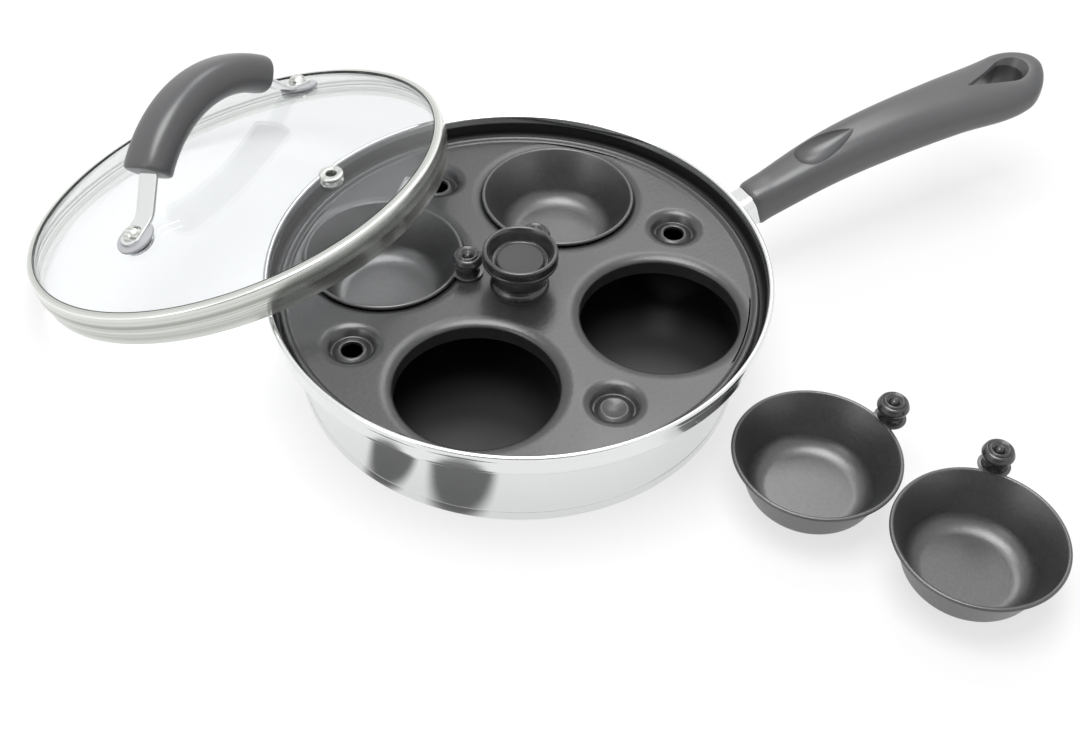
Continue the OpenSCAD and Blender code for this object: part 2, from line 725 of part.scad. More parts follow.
foot_round = 5.6;
module lid_strap() {
    color("#cfd1d2")
    lid_place() difference() {
        intersection() {
            strap_bar(strap_w);
            union() {
                translate([-strap_w, -foot_at, 0]) cube([strap_w * 2, foot_at * 2, arch_h * 2]);
                each_foot() translate([0, 0, -5]) cylinder(r = foot_round, h = 20, $fn = 48);
            }
        }
        each_foot() translate([0, 0, -2]) cylinder(r = lid_rivet_r, h = 10, $fn = 32);
    }
}

// Ring of the lid grip at angle a along its arch, shrunk by k at its ends
function lid_ring(a, k) =
    [for (p = squircle(24, lid_grip_w * k, lid_grip_h * k, 0.74))
        let (r = arch_r + p[1]) [p[0], r * sin(a), arch_mid + r * cos(a)]];

module lid_grip() {
    color("#48494b")
    lid_place() difference() {
        skin([for (s = [-1, -0.96, -0.8, -0.6, -0.4, -0.2, 0, 0.2, 0.4, 0.6, 0.8, 0.96, 1])
            lid_ring(s * asin(lid_grip_half / arch_r), abs(s) == 1 ? 0.8 : 1)]);
        strap_bar(strap_w);
    }
}

module lid_rivets() {
    color("#d9dbdc")
    lid_place() each_foot() rotate_extrude($fn = 40) polygon(concat(
        [[0, inner_face - inner_washer_t - 1.4], [3.4, inner_face - inner_washer_t - 1.4]],
        [[4.2, inner_face - inner_washer_t], [lid_rivet_r, inner_face - inner_washer_t]],
        [[lid_rivet_r, seal_t + strap_t]],
        arc([0, seal_t + strap_t - 1.4], 4.5, 18, 90, 6)));
}

module lid_seal_washers() {
    color("#3c3d3f")
    lid_place() each_foot() difference() {
        cylinder(r = seal_r, h = seal_t, $fn = 48);
        translate([0, 0, -1]) cylinder(r = lid_rivet_r, h = seal_t + 2, $fn = 32);
    }
}

module lid_inner_washers() {
    color("#8e9092")
    lid_place() each_foot() translate([0, 0, inner_face - inner_washer_t]) difference() {
        cylinder(r = inner_washer_r, h = inner_washer_t, $fn = 48);
        translate([0, 0, -1]) cylinder(r = lid_rivet_r, h = inner_washer_t + 2, $fn = 32);
    }
}

pan_body();
pan_lining();
base_core();
base_capsule();
handle_bracket();
handle_ferrule();
handle_grip();
handle_screw();
poaching_tray();
tray_knob();
tray_knob_plug();
tray_knob_screw();
tray_knob_washer();
cup_place(1) cup_bowl();  // cup_bowl_1
cup_place(2) cup_bowl();  // cup_bowl_2
cup_place(3) cup_bowl();  // cup_bowl_3
cup_place(4) cup_bowl();  // cup_bowl_4
cup_place(1) cup_knob();  // cup_knob_1
cup_place(2) cup_knob();  // cup_knob_2
cup_place(3) cup_knob();  // cup_knob_3
cup_place(4) cup_knob();  // cup_knob_4
cup_place(1) cup_knob_rivet();  // cup_knob_rivet_1
cup_place(2) cup_knob_rivet();  // cup_knob_rivet_2
cup_place(3) cup_knob_rivet();  // cup_knob_rivet_3
cup_place(4) cup_knob_rivet();  // cup_knob_rivet_4
lid_glass();
lid_band();
lid_vent_eyelet();
lid_strap();
lid_grip();
lid_rivets();
lid_seal_washers();
lid_inner_washers();
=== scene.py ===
# %% [markdown]
# # Egg poacher pan
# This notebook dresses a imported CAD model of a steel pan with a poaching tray,
# four lift-out cups and a glass lid. The CAD pieces fix every size and place.
# Here each visible piece is made again with smooth surfaces and a real finish.

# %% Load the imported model
import math

import bmesh
import bpy
from mathutils import Matrix, Vector


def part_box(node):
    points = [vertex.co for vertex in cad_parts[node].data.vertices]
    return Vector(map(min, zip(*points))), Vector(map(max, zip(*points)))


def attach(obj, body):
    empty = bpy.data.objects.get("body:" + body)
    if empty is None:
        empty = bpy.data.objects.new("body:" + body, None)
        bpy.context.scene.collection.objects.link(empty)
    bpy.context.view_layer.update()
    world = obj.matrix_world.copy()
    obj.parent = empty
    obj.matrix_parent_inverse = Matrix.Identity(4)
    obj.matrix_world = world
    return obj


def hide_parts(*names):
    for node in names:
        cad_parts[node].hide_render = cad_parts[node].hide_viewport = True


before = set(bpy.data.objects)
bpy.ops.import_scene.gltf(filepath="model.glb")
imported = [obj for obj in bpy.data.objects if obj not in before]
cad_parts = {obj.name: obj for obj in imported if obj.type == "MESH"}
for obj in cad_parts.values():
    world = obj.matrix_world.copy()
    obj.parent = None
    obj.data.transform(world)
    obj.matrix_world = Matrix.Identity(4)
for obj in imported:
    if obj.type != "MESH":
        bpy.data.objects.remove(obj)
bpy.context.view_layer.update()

scene = bpy.context.scene

# %% [markdown]
# ## Outlines
# Most pieces of a pan are turned or pressed round, so each starts as an outline:
# radius and height in millimetres. `arc` gives the rounded stretches, and
# `beside` moves a line sideways by a sheet's thickness, as a press die would.

# %% Outline helpers
MM = 0.001


def arc(centre, radius, start, end, steps=10):
    """Points on an arc, with angles in degrees."""
    angles = [math.radians(start + (end - start) * i / steps) for i in range(steps + 1)]
    return [(centre[0] + radius * math.cos(a), centre[1] + radius * math.sin(a)) for a in angles]


def left_of(a, b):
    """The unit vector that points left of the way from a to b."""
    return Vector((a[1] - b[1], b[0] - a[0])).normalized()


def beside(line, shift):
    """The line moved to its left by the same distance everywhere."""
    moved = []
    last = len(line) - 1
    for i, point in enumerate(line):
        before = left_of(line[max(i - 1, 0)], line[max(i, 1)])
        after = left_of(line[min(i, last - 1)], line[min(i + 1, last)])
        middle = (before + after).normalized()
        reach = shift / middle.dot(before)
        moved.append((point[0] + reach * middle.x, point[1] + reach * middle.y))
    return moved


def sheet(line, near, far):
    """The closed outline of a sheet between two distances from a line."""
    return beside(line, near) + beside(line, far)[::-1]


# %% [markdown]
# ## From an outline to a piece
# `spun` turns an outline about the Z axis with the spin operator. `finish_piece`
# makes the object, smooths its faces except at sharp bends, ties it to the body
# that it rides on and hides the CAD nodes that it stands for.

# %% Piece helpers
SAME_POINT = 1e-6
FINISHES, SLOT_OF = {}, {}


def lifted(height):
    """The matrix that raises a piece by millimetres."""
    return Matrix.Translation((0, 0, height * MM))


def turned_by(degrees, axis="Z"):
    """The matrix that turns a piece about an axis."""
    return Matrix.Rotation(math.radians(degrees), 4, axis)


def spin_line(bm, line, steps, around=(0, 0), closed=False):
    """Spins a line into a bmesh about an upright axis through a point."""
    centre = Vector((around[0] * MM, around[1] * MM, 0))
    verts = [bm.verts.new(centre + Vector((r * MM, 0, z * MM))) for r, z in line]
    edges = [bm.edges.new(pair) for pair in zip(verts, verts[1:])]
    if closed:
        edges.append(bm.edges.new((verts[-1], verts[0])))
    bmesh.ops.spin(bm, geom=verts + edges, cent=centre, axis=(0, 0, 1),
                   angle=2 * math.pi, steps=steps, use_merge=True)


def spun(outline, steps, closed=True):
    """A bmesh of an outline in millimetres, turned a full circle."""
    bm = bmesh.new()
    spin_line(bm, outline, steps, closed=closed and outline[0][0] > 0)
    bmesh.ops.remove_doubles(bm, verts=bm.verts, dist=SAME_POINT)
    bmesh.ops.recalc_face_normals(bm, faces=bm.faces)
    return bm


def new_object(name, bm, material=None):
    """An object in the scene, made from a bmesh."""
    mesh = bpy.data.meshes.new(name)
    bm.to_mesh(mesh)
    bm.free()
    if material:
        mesh.materials.append(material)
    made = bpy.data.objects.new(name, mesh)
    scene.collection.objects.link(made)
    return made


def finish_piece(name, bm, body, material, nodes=(), place=None, sharp=40):
    """Turns a bmesh into a piece of the object, in its place."""
    if place is not None:
        bmesh.ops.transform(bm, matrix=place, verts=bm.verts)
    piece = new_object(name, bm, FINISHES[material])
    piece.data.shade_smooth()
    piece.data.set_sharp_from_angle(angle=math.radians(sharp))
    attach(piece, body)
    if nodes:
        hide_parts(*nodes)
    return piece


# %% [markdown]
# ## The camera
# The photograph looks down on the pan from its front left, through an ordinary
# lens. Its place was found from the ellipses of the lip, the openings and the
# cups. A small roll levels the picture the way the photograph has it.

# %% Camera
CAMERA_TURN, CAMERA_HEIGHT, CAMERA_ROLL = 30.6, 46.08, 1.95
CAMERA_DISTANCE, LENS, SENSOR = 0.63176, 49.2, 36
CAMERA_TARGET = Vector((0.0023, -0.0150, 0.0))


def aim_camera(camera):
    """Stands the camera at its turn, height and distance from the target."""
    turn, height = math.radians(-CAMERA_TURN), math.radians(CAMERA_HEIGHT)
    back = Vector((math.sin(turn) * math.cos(height), -math.cos(turn) * math.cos(height),
                   math.sin(height)))
    roll = turned_by(CAMERA_ROLL).to_quaternion()
    camera.location = CAMERA_TARGET + back * CAMERA_DISTANCE
    camera.rotation_mode = "QUATERNION"
    camera.rotation_quaternion = (-back).to_track_quat("-Z", "Y") @ roll


camera = bpy.data.objects.new("camera", bpy.data.cameras.new("camera"))
camera.data.lens, camera.data.sensor_width = LENS, SENSOR
camera.data.clip_start, camera.data.clip_end = 0.01, 20
scene.collection.objects.link(camera)
scene.camera = camera
aim_camera(camera)
print("camera at", [round(v, 3) for v in camera.location])

# %% [markdown]
# ## Nodes
# Every material, and the world, is built with one helper. It adds a node, and
# fills each input with a plain value or with a link from another node.

# %% Node helpers
def feed(node, inputs):
    """Gives inputs their values, or a link where the value is a socket."""
    for key, value in inputs.items():
        if isinstance(value, bpy.types.NodeSocket):
            node.id_data.links.new(value, node.inputs[key])
        else:
            node.inputs[key].default_value = value


def add_node(tree, kind, inputs=None, **settings):
    """A new shader node with its settings and inputs."""
    node = tree.nodes.new(kind)
    for key, value in settings.items():
        setattr(node, key, value)
    feed(node, inputs or {})
    return node


def any_ray(tree, kinds):
    """1 for a ray of any of these kinds, as Light Path tells them."""
    path = add_node(tree, "ShaderNodeLightPath")
    source = path.outputs[kinds[0]]
    for kind in kinds[1:]:
        either = add_node(tree, "ShaderNodeMath", {0: source, 1: path.outputs[kind]},
                          operation="MAXIMUM")
        source = either.outputs[0]
    return source


def mix_out(tree, share, first, second, output):
    """Sends a mix of two shaders to the tree's output."""
    mix = add_node(tree, "ShaderNodeMixShader",
                   {0: share, 1: first.outputs[0], 2: second.outputs[0]})
    add_node(tree, output, {0: mix.outputs[0]})


# %% [markdown]
# ## The studio
# A product picture on white has a bright, even surround. The world is white to
# the camera and in mirrors, and gives a softer fill to matt surfaces. A large
# softbox hangs overhead. A second one behind the pan puts a soft sheen on the
# flat sheets, and a weak one stands at its left.

# %% World and lamps
FILL = 0.36
SEEN_RAYS = ("Is Camera Ray", "Is Glossy Ray", "Is Transmission Ray")
WHITE = (1, 1, 1, 1)
scene.view_settings.view_transform = "Standard"


def make_world():
    """A white surround, dimmer for what matt surfaces receive."""
    scene.world = bpy.data.worlds.new("studio")
    scene.world.use_nodes = True
    tree = scene.world.node_tree
    tree.nodes.clear()
    soft = add_node(tree, "ShaderNodeBackground", {"Color": WHITE, "Strength": FILL})
    bright = add_node(tree, "ShaderNodeBackground", {"Color": WHITE})
    mix_out(tree, any_ray(tree, SEEN_RAYS), soft, bright, "ShaderNodeOutputWorld")


def softbox(name, place, size, watts, target=(0, 0, 0.03)):
    """A square area lamp that faces the target."""
    lamp = bpy.data.objects.new(name, bpy.data.lights.new(name, "AREA"))
    lamp.data.shape = "SQUARE"
    lamp.data.size, lamp.data.energy = size, watts
    scene.collection.objects.link(lamp)
    lamp.location = place
    lamp.rotation_mode = "QUATERNION"
    lamp.rotation_quaternion = (Vector(target) - Vector(place)).to_track_quat("-Z", "Y")


make_world()
softbox("overhead_lamp", (-0.08, 0.0, 1.4), 0.85, 15)
softbox("back_lamp", (0.90, 1.00, 1.70), 0.75, 7, (0.05, 0, 0.03))
softbox("side_lamp", (-1.3, -0.2, 0.9), 0.6, 2)

# %% [markdown]
# ## Finishes
# A finish is a shader on Object coordinates, so its pattern stays on the piece.
# Two effects serve several finishes and are node groups: `speckle`, the fine
# grain of sprayed coatings and moulded plastic, and `turned`, the faint rings
# that spinning and polishing leave in sheet metal.

# %% Effect groups
def new_group(name, inputs, outputs):
    """A shader group with its sockets, and its input and output nodes."""
    group = bpy.data.node_groups.new(name, "ShaderNodeTree")
    for label, value in inputs.items():
        kind = "NodeSocketVector" if isinstance(value, tuple) else "NodeSocketFloat"
        socket = group.interface.new_socket(label, in_out="INPUT", socket_type=kind)
        socket.default_value = value
    for label in outputs:
        group.interface.new_socket(label, in_out="OUTPUT", socket_type="NodeSocketFloat")
    return group, group.nodes.new("NodeGroupInput").outputs, group.nodes.new("NodeGroupOutput")


def speckle_group():
    """Fine grain, and broad uneven patches, in metres of Object space."""
    group, given, result = new_group(
        "speckle", {"Grain Scale": 900.0, "Patch Scale": 14.0}, ("Grain", "Patch"))
    place = add_node(group, "ShaderNodeTexCoord").outputs["Object"]
    for label, detail, roughness in (("Grain", 3.0, 0.65), ("Patch", 2.0, 0.5)):
        noise = add_node(group, "ShaderNodeTexNoise", {
            "Vector": place, "Scale": given[label + " Scale"],
            "Detail": detail, "Roughness": roughness})
        feed(result, {label: noise.outputs["Fac"]})
    return group


def turned_group():
    """Faint rings about an axis, from the distance to it and the height."""
    group, given, result = new_group(
        "turned", {"Ring Scale": 1500.0, "Turn": (0, 0, 0), "Move": (0, 0, 0)},
        ("Rings", "Radius", "Height"))
    place = add_node(group, "ShaderNodeTexCoord").outputs["Object"]
    axis = add_node(group, "ShaderNodeMapping", {
        "Vector": place, "Rotation": given["Turn"], "Location": given["Move"]})
    parts = add_node(group, "ShaderNodeSeparateXYZ", {0: axis.outputs["Vector"]}).outputs
    flat = add_node(group, "ShaderNodeCombineXYZ", {"X": parts["X"], "Y": parts["Y"]})
    length = add_node(group, "ShaderNodeVectorMath", {0: flat.outputs[0]}, operation="LENGTH")
    radius = length.outputs["Value"]
    joined = add_node(group, "ShaderNodeCombineXYZ", {"X": radius, "Y": parts["Z"]})
    noise = add_node(group, "ShaderNodeTexNoise", {
        "Vector": joined.outputs[0], "Scale": given["Ring Scale"], "Detail": 4.0})
    feed(result, {"Rings": noise.outputs["Fac"], "Radius": radius, "Height": parts["Z"]})
    return group


SPECKLE = speckle_group()
TURNED = turned_group()
print("groups:", SPECKLE.name, TURNED.name)

# %% Material helpers
PATTERN_LOW, PATTERN_HIGH = 0.3, 0.7


def new_material(name, slot=None):
    """Keeps a new material, and gives its tree and its Principled shader."""
    material = bpy.data.materials.new(name)
    material.use_nodes = True
    FINISHES[name], SLOT_OF[name] = material, slot
    return material.node_tree, material.node_tree.nodes["Principled BSDF"]


def spread(tree, source, low, high):
    """Maps a 0 to 1 pattern onto a range of values."""
    return add_node(tree, "ShaderNodeMapRange", {
        "Value": source, "From Min": PATTERN_LOW, "From Max": PATTERN_HIGH,
        "To Min": low, "To Max": high}).outputs["Result"]


def tint(tree, source, dark, light):
    """Mixes two colours by a 0 to 1 pattern."""
    return add_node(tree, "ShaderNodeMix", {"Factor": source, "A": dark, "B": light},
                    data_type="RGBA").outputs["Result"]


def bump(tree, height, strength, distance):
    """Turns a pattern into fine relief."""
    return add_node(tree, "ShaderNodeBump", {
        "Strength": strength, "Distance": distance, "Height": height}).outputs["Normal"]


# %% [markdown]
# ## Metals, coatings and plastics
# Polished steel is nearly a mirror, so its look comes from what surrounds it and
# from a little uneven roughness. The non-stick coating is a dark satin paint
# with a fine speckle. The knobs are glossy and the grips are satin plastic.

# %% Steel
STEEL_RELIEF = 0.00002


def steel(name, colour, low, high, ring_scale, relief):
    """Sheet steel with turned rings."""
    tree, shader = new_material(name, name)
    rings = add_node(tree, "ShaderNodeGroup", {"Ring Scale": ring_scale},
                     node_tree=TURNED).outputs["Rings"]
    dark = (*[c * 0.95 for c in colour], 1)
    feed(shader, {"Metallic": 1.0, "Base Color": tint(tree, rings, dark, (*colour, 1)),
                  "Roughness": spread(tree, rings, low, high),
                  "Normal": bump(tree, rings, relief, STEEL_RELIEF)})


for bright in ("polished_steel", "base_steel"):
    steel(bright, (0.80, 0.81, 0.81), 0.10, 0.20, 1400.0, 0.10)
steel("bracket_steel", (0.62, 0.63, 0.64), 0.25, 0.38, 700.0, 0.15)
steel("fastener_steel", (0.58, 0.59, 0.60), 0.20, 0.34, 1500.0, 0.15)
steel("aluminium_core", (0.60, 0.61, 0.62), 0.30, 0.45, 900.0, 0.15)
print("steels:", list(FINISHES))


# %% Coatings and plastics
COAT_ROUGHNESS, COAT_RELIEF, PATCH_SCALE = 0.08, 0.00006, 16.0


def grey(value):
    """A faintly cool grey."""
    return (value, value * 1.01, value * 1.05, 1)


def coated(name, dark, light, low, high, grain, relief, coat=0.0, gloss=0.5, ior=1.5, slot=None):
    """A coating or plastic with speckle in colour, gloss and relief."""
    tree, shader = new_material(name, slot or name)
    mark = add_node(tree, "ShaderNodeGroup", {"Grain Scale": grain, "Patch Scale": PATCH_SCALE},
                    node_tree=SPECKLE).outputs
    feed(shader, {"Base Color": tint(tree, mark["Grain"], grey(dark), grey(light)),
                  "Roughness": spread(tree, mark["Patch"], low, high),
                  "Specular IOR Level": gloss, "IOR": ior,
                  "Coat Weight": coat, "Coat Roughness": COAT_ROUGHNESS,
                  "Normal": bump(tree, mark["Grain"], relief, COAT_RELIEF)})


coated("nonstick_pan", 0.006, 0.014, 0.36, 0.46, 1100.0, 0.25, gloss=0.45)
coated("nonstick_tray", 0.008, 0.044, 0.27, 0.38, 620.0, 1.0, gloss=0.85)
coated("nonstick_cup", 0.003, 0.048, 0.30, 0.40, 620.0, 1.0, gloss=0.7, ior=1.75)
coated("knob_plastic", 0.020, 0.030, 0.20, 0.28, 600.0, 0.03, 0.3, gloss=0.7)
coated("knob_satin", 0.030, 0.042, 0.40, 0.48, 600.0, 0.03, slot="knob_plastic")
coated("black_rivet", 0.012, 0.020, 0.16, 0.24, 900.0, 0.05, 0.4, slot="fastener_steel")
coated("handle_plastic", 0.062, 0.088, 0.29, 0.37, 1100.0, 0.08, gloss=0.75)
coated("seal_rubber", 0.42, 0.52, 0.40, 0.50, 700.0, 0.05)
print("finishes:", list(FINISHES))


# %% [markdown]
# ## Glass
# The lid is tempered glass, clear with a faint cool tone.

# %% Glass
SHADOW_ALPHA = 0.12


def clear_glass():
    """Clear glass that lets the lamps' light through."""
    tree, shader = new_material("lid_glass", "lid_glass")
    shadow = add_node(tree, "ShaderNodeLightPath").outputs["Is Shadow Ray"]
    seen = add_node(tree, "ShaderNodeMapRange",
                    {"Value": shadow, "To Min": 1.0, "To Max": SHADOW_ALPHA})
    feed(shader, {"Base Color": (0.86, 0.875, 0.885, 1), "Roughness": 0.0, "IOR": 1.45,
                  "Specular IOR Level": 0.03, "Transmission Weight": 1.0,
                  "Alpha": seen.outputs["Result"]})


clear_glass()

# %% [markdown]
# ## The floor
# The floor is pale and plain, with just enough tone to hold a soft shadow.

# %% Floor
FLOOR_SIZE, FLOOR_TONE, FLOOR_GLOW, FLOOR_GAP = 6.0, 0.95, 0.70, 0.0002


def card(name, half, material, place, hidden_from=()):
    """A square card for the stage, in its place."""
    bm = bmesh.new()
    bmesh.ops.create_grid(bm, x_segments=1, y_segments=1, size=half)
    made = new_object(name, bm, FINISHES[material])
    made.matrix_world = place
    for way in hidden_from:
        setattr(made, way, False)


def floor_finish():
    """A pale matt paint that glows a little, and keeps a part of every shadow."""
    tree = new_material("floor")[0]
    tree.nodes.clear()
    matt = add_node(tree, "ShaderNodeBsdfDiffuse", {"Color": (*[FLOOR_TONE] * 3, 1)})
    white = add_node(tree, "ShaderNodeEmission")
    share = add_node(tree, "ShaderNodeMath", {0: any_ray(tree, SEEN_RAYS), 1: FLOOR_GLOW},
                     operation="MULTIPLY")
    mix_out(tree, share.outputs[0], matt, white, "ShaderNodeOutputMaterial")


floor_finish()
card("floor", FLOOR_SIZE / 2, "floor", Matrix.Translation((0, 0, -FLOOR_GAP)))

# %% [markdown]
# ## Dark flags
# Polished steel shows what stands round it, and between white and white it would
# vanish. A studio puts up dark cards, called flags, to draw it. Two small ones lie
# before the pan's wall and a long one stands behind the camera. Only mirrors see
# them, and each fades out at its edges, so that it leaves a soft reflection.

# %% Flags
FADE_WIDTH, FLAG_LIFT = 0.3, 0.4
BACK_FLAG_AT, BACK_FLAG_HALF = (0, -1.6, 0.65), (1.6, 0.55)
FLAG_HIDDEN = ("visible_camera", "visible_diffuse", "visible_transmission", "visible_shadow")


def cloth(name, colour, strength):
    """Dark cloth that thins out to nothing towards the card's edges."""
    tree, shader = new_material(name)
    place = add_node(tree, "ShaderNodeTexCoord").outputs["Object"]
    round_fade = add_node(tree, "ShaderNodeTexGradient", {"Vector": place},
                          gradient_type="SPHERICAL")
    fade = add_node(tree, "ShaderNodeMapRange", {
        "Value": round_fade.outputs["Fac"], "From Max": FADE_WIDTH, "To Max": strength},
        interpolation_type="SMOOTHSTEP")
    feed(shader, {"Base Color": (*[colour] * 3, 1), "Roughness": 0.9,
                  "Alpha": fade.outputs["Result"]})


def table_flag(name, direction, radius, half_out, half_along):
    """A card on the table beside the pan, in millimetres from the pan's axis."""
    card(name, 1, "table_cloth", turned_by(direction)
         @ Matrix.Translation((radius * MM, 0, FLAG_LIFT * MM))
         @ Matrix.Diagonal((half_out * MM, half_along * MM, 1, 1)), FLAG_HIDDEN)


cloth("table_cloth", 0.02, 0.85)
table_flag("flag_left", -155.5, 113, 26, 17)
table_flag("flag_front", -134.5, 116, 30, 22)
cloth("front_cloth", 0.10, 0.9)
card("flag_behind_camera", 1, "front_cloth", turned_by(-CAMERA_TURN)
     @ Matrix.Translation(BACK_FLAG_AT) @ turned_by(90, "X")
     @ Matrix.Diagonal((*BACK_FLAG_HALF, 1, 1)), FLAG_HIDDEN)
print("flags placed")

# %% [markdown]
# ## The pan
# The pan is one pressed sheet. Its wall leans in to the foot, and near the top it
# steps outwards, so that the tray rests on a ledge. The lip is rolled outwards.
# A dark coating covers the inside up to just under the lip.

# %% Pan sizes, in millimetres
LIP_R, PAN_H = 104.0, 49.8
LIP_W, LIP_H, LIP_STEP, LIP_SOFT = 2.2, 3.4, 0.9, 1.05
PAN_WALL, LINING, LINING_DROP = 1.2, 0.3, 0.3
LEDGE_DROP, LEDGE_W, WALL_LEAN = 10.8, 5.7, 4.2
CORNER_R, NECK_BEND, WAIST_BEND = 0.8, 3.8, 1.5
CAPSULE_T, CORE_T, CAPSULE_EDGE, CAPSULE_LAP = 0.6, 4.2, 1.4, 0.4
NECK_R = LIP_R - LIP_STEP
WAIST_R = NECK_R - LEDGE_W
FOOT_R = WAIST_R - WALL_LEAN
BASE_H = CAPSULE_T + CORE_T
LEDGE_Z = PAN_H - LEDGE_DROP
LEDGE_UNDER = LEDGE_Z - LINING - PAN_WALL


# %% Pan outlines
def pan_line(top):
    """The outer line of the pan's sheet, from the middle of the base to a height."""
    slope = math.degrees(math.atan(WALL_LEAN / (LEDGE_UNDER - BASE_H - CORNER_R)))
    return ([(0, BASE_H)]
            + arc((FOOT_R - CORNER_R, BASE_H + CORNER_R), CORNER_R, -90, -slope, 8)
            + arc((WAIST_R + WAIST_BEND, LEDGE_UNDER - WAIST_BEND), WAIST_BEND, 180 - slope, 90, 8)
            + arc((NECK_R - NECK_BEND, LEDGE_UNDER + NECK_BEND), NECK_BEND, -90, 0, 10)
            + [(NECK_R, top)])


def pan_outline():
    """The sheet with its rolled lip, as one closed outline."""
    outer, soft = pan_line(PAN_H - LIP_H), LIP_SOFT
    lip = (arc((LIP_R - soft, PAN_H - LIP_H + soft), soft, -90, 0, 6)
           + arc((LIP_R - soft, PAN_H - soft), soft, 0, 90, 6)
           + arc((LIP_R - LIP_W + soft, PAN_H - soft), soft, 90, 180, 6))
    return outer + lip + beside(outer, PAN_WALL)[::-1]


def lining_outline():
    """The dark coating, a thin skin on the inside of the sheet."""
    return sheet(pan_line(PAN_H - LIP_H - LINING_DROP), PAN_WALL, PAN_WALL + LINING)


def capsule_outline():
    """The steel cap under the base."""
    return sheet([(0, 0)] + arc((FOOT_R - CAPSULE_EDGE, CAPSULE_EDGE), CAPSULE_EDGE, -90, 0, 6)
                 + [(FOOT_R, BASE_H + CAPSULE_LAP)], 0, CAPSULE_T)


# %% Make the pan
finish_piece("pan_shell", spun(pan_outline(), 256), "pan", "polished_steel", ["pan_body"],
             sharp=32)
finish_piece("pan_coating", spun(lining_outline(), 192), "pan", "nonstick_pan", ["pan_lining"],
             sharp=32)
finish_piece("pan_base_cap", spun(capsule_outline(), 256), "pan", "base_steel", ["base_capsule"],
             sharp=32)
print("pan lip radius", LIP_R, "foot radius", round(FOOT_R, 1))

# %% [markdown]
# ## The poaching tray
# The tray is one thin pressing: an edge bead, four drawn collars for the cups and
# four ringed dimples, of which one is blind. Both faces of each ring are spun on
# its own axis, and a triangle fill lays the two flat webs between the rings, so
# that the sheet is closed and keeps its exact thickness round every bend.

# %% Tray sizes, in millimetres
TRAY_T, BEAD_RISE, BEAD_R, BEAD_RAMP, BEAD_START = 1.0, 1.35, 1.5, 0.8, 1.15
THROAT_R, ENTRY_R, COLLAR_H, PITCH_R = 32.6, 2.5, 8.0, 59.5
DIMPLE_AT, DIMPLE_R, DIMPLE_D, VENT_R = 76.0, 14.0, 4.5, 4.4
DIMPLE_BEND, RING_R, RING_H, RING_BEND, SLOPE_D = 6.0, 6.7, 1.4, 1.1, 1.4
ENTRY_W, TRAY_HOLE_R, LAP = 5.6, 2.6, 0.6
TRAY_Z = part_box("tray_knob")[0].z / MM
TRAY_EDGE_R = WAIST_R + 1.8
OPENING_DIRS = (45, 135, 225, 315)
VENT_DIRS = (0, 90, 180)
BLIND_DIR = 270


# %% Tray rings
def bead_line():
    """The upper face at the tray's edge, from the flat web out over the bead."""
    top = (TRAY_EDGE_R - BEAD_R, BEAD_RISE - BEAD_R)
    foot = TRAY_EDGE_R - 2 * BEAD_R - BEAD_RAMP
    reach = top[0] - BEAD_START - foot
    rise = [(foot + reach * t, BEAD_RAMP * t * t) for t in (0, 0.25, 0.5, 0.75)]
    return [(foot - LAP, 0)] + rise + arc(top, BEAD_R, 140, 0, 14) + [(TRAY_EDGE_R, -TRAY_T)]


def collar_line():
    """The upper face round a cup opening, with an oval sweep from the web to the collar."""
    sweep = [(THROAT_R + ENTRY_W * (1 + c), -ENTRY_R + ENTRY_R * s)
             for c, s in arc((0, 0), 1, 180, 90, 16)]
    return ([(THROAT_R, -COLLAR_H), (THROAT_R, -COLLAR_H * 0.6)] + sweep
            + [(THROAT_R + ENTRY_W + LAP, 0)])


def dimple_line(inner, inner_z):
    """The upper face of a ringed dimple, from its middle out to the web."""
    return ([(inner, inner_z), (inner + 0.5, inner_z)]
            + arc((RING_R - 1.6, RING_H - DIMPLE_D - RING_BEND), RING_BEND, 120, 50, 8)
            + arc((RING_R + 1.3, -DIMPLE_D + RING_BEND), RING_BEND, 220, 310, 8)
            + [(RING_R + 2.3, -SLOPE_D)]
            + arc((DIMPLE_R - 0.6, -DIMPLE_BEND), DIMPLE_BEND, 114, 90, 10)
            + [(DIMPLE_R + LAP, 0)])


def press_ring(bm, line, at, direction, steps):
    """Spins both faces of a pressed ring, joined at its inner edge if it is pierced."""
    under = beside(line, -TRAY_T)
    around = arc((0, 0), at, direction, direction, 1)[0]
    if line[0][0] > 0:
        spin_line(bm, line[::-1] + under, steps, around)
    else:
        spin_line(bm, line, steps, around)
        spin_line(bm, under, steps, around)


def fill_web(bm, height):
    """Fills the flat web between the rings at one height."""
    rims = [e for e in bm.edges if len(e.link_faces) == 1
            and all(abs(v.co.z - height * MM) < SAME_POINT for v in e.verts)]
    bmesh.ops.triangle_fill(bm, edges=rims, use_beauty=True, normal=(0, 0, 1))
    return len(rims)


def tray_mesh():
    """The pressed tray, as one closed sheet with its upper face at height 0."""
    bm = bmesh.new()
    bead = bead_line()
    spin_line(bm, bead + beside(bead, -TRAY_T)[::-1], 256)
    spin_line(bm, [(TRAY_HOLE_R, 0), (TRAY_HOLE_R, -TRAY_T)], 32)
    for direction in OPENING_DIRS:
        press_ring(bm, collar_line(), PITCH_R, direction, 128)
    for direction in VENT_DIRS:
        press_ring(bm, dimple_line(VENT_R, RING_H - DIMPLE_D - 0.5), DIMPLE_AT, direction, 72)
    press_ring(bm, dimple_line(0, RING_H - DIMPLE_D - 0.8), DIMPLE_AT, BLIND_DIR, 72)
    bmesh.ops.remove_doubles(bm, verts=bm.verts, dist=SAME_POINT)
    print("web edges filled:", fill_web(bm, 0), fill_web(bm, -TRAY_T))
    bmesh.ops.recalc_face_normals(bm, faces=bm.faces)
    return bm


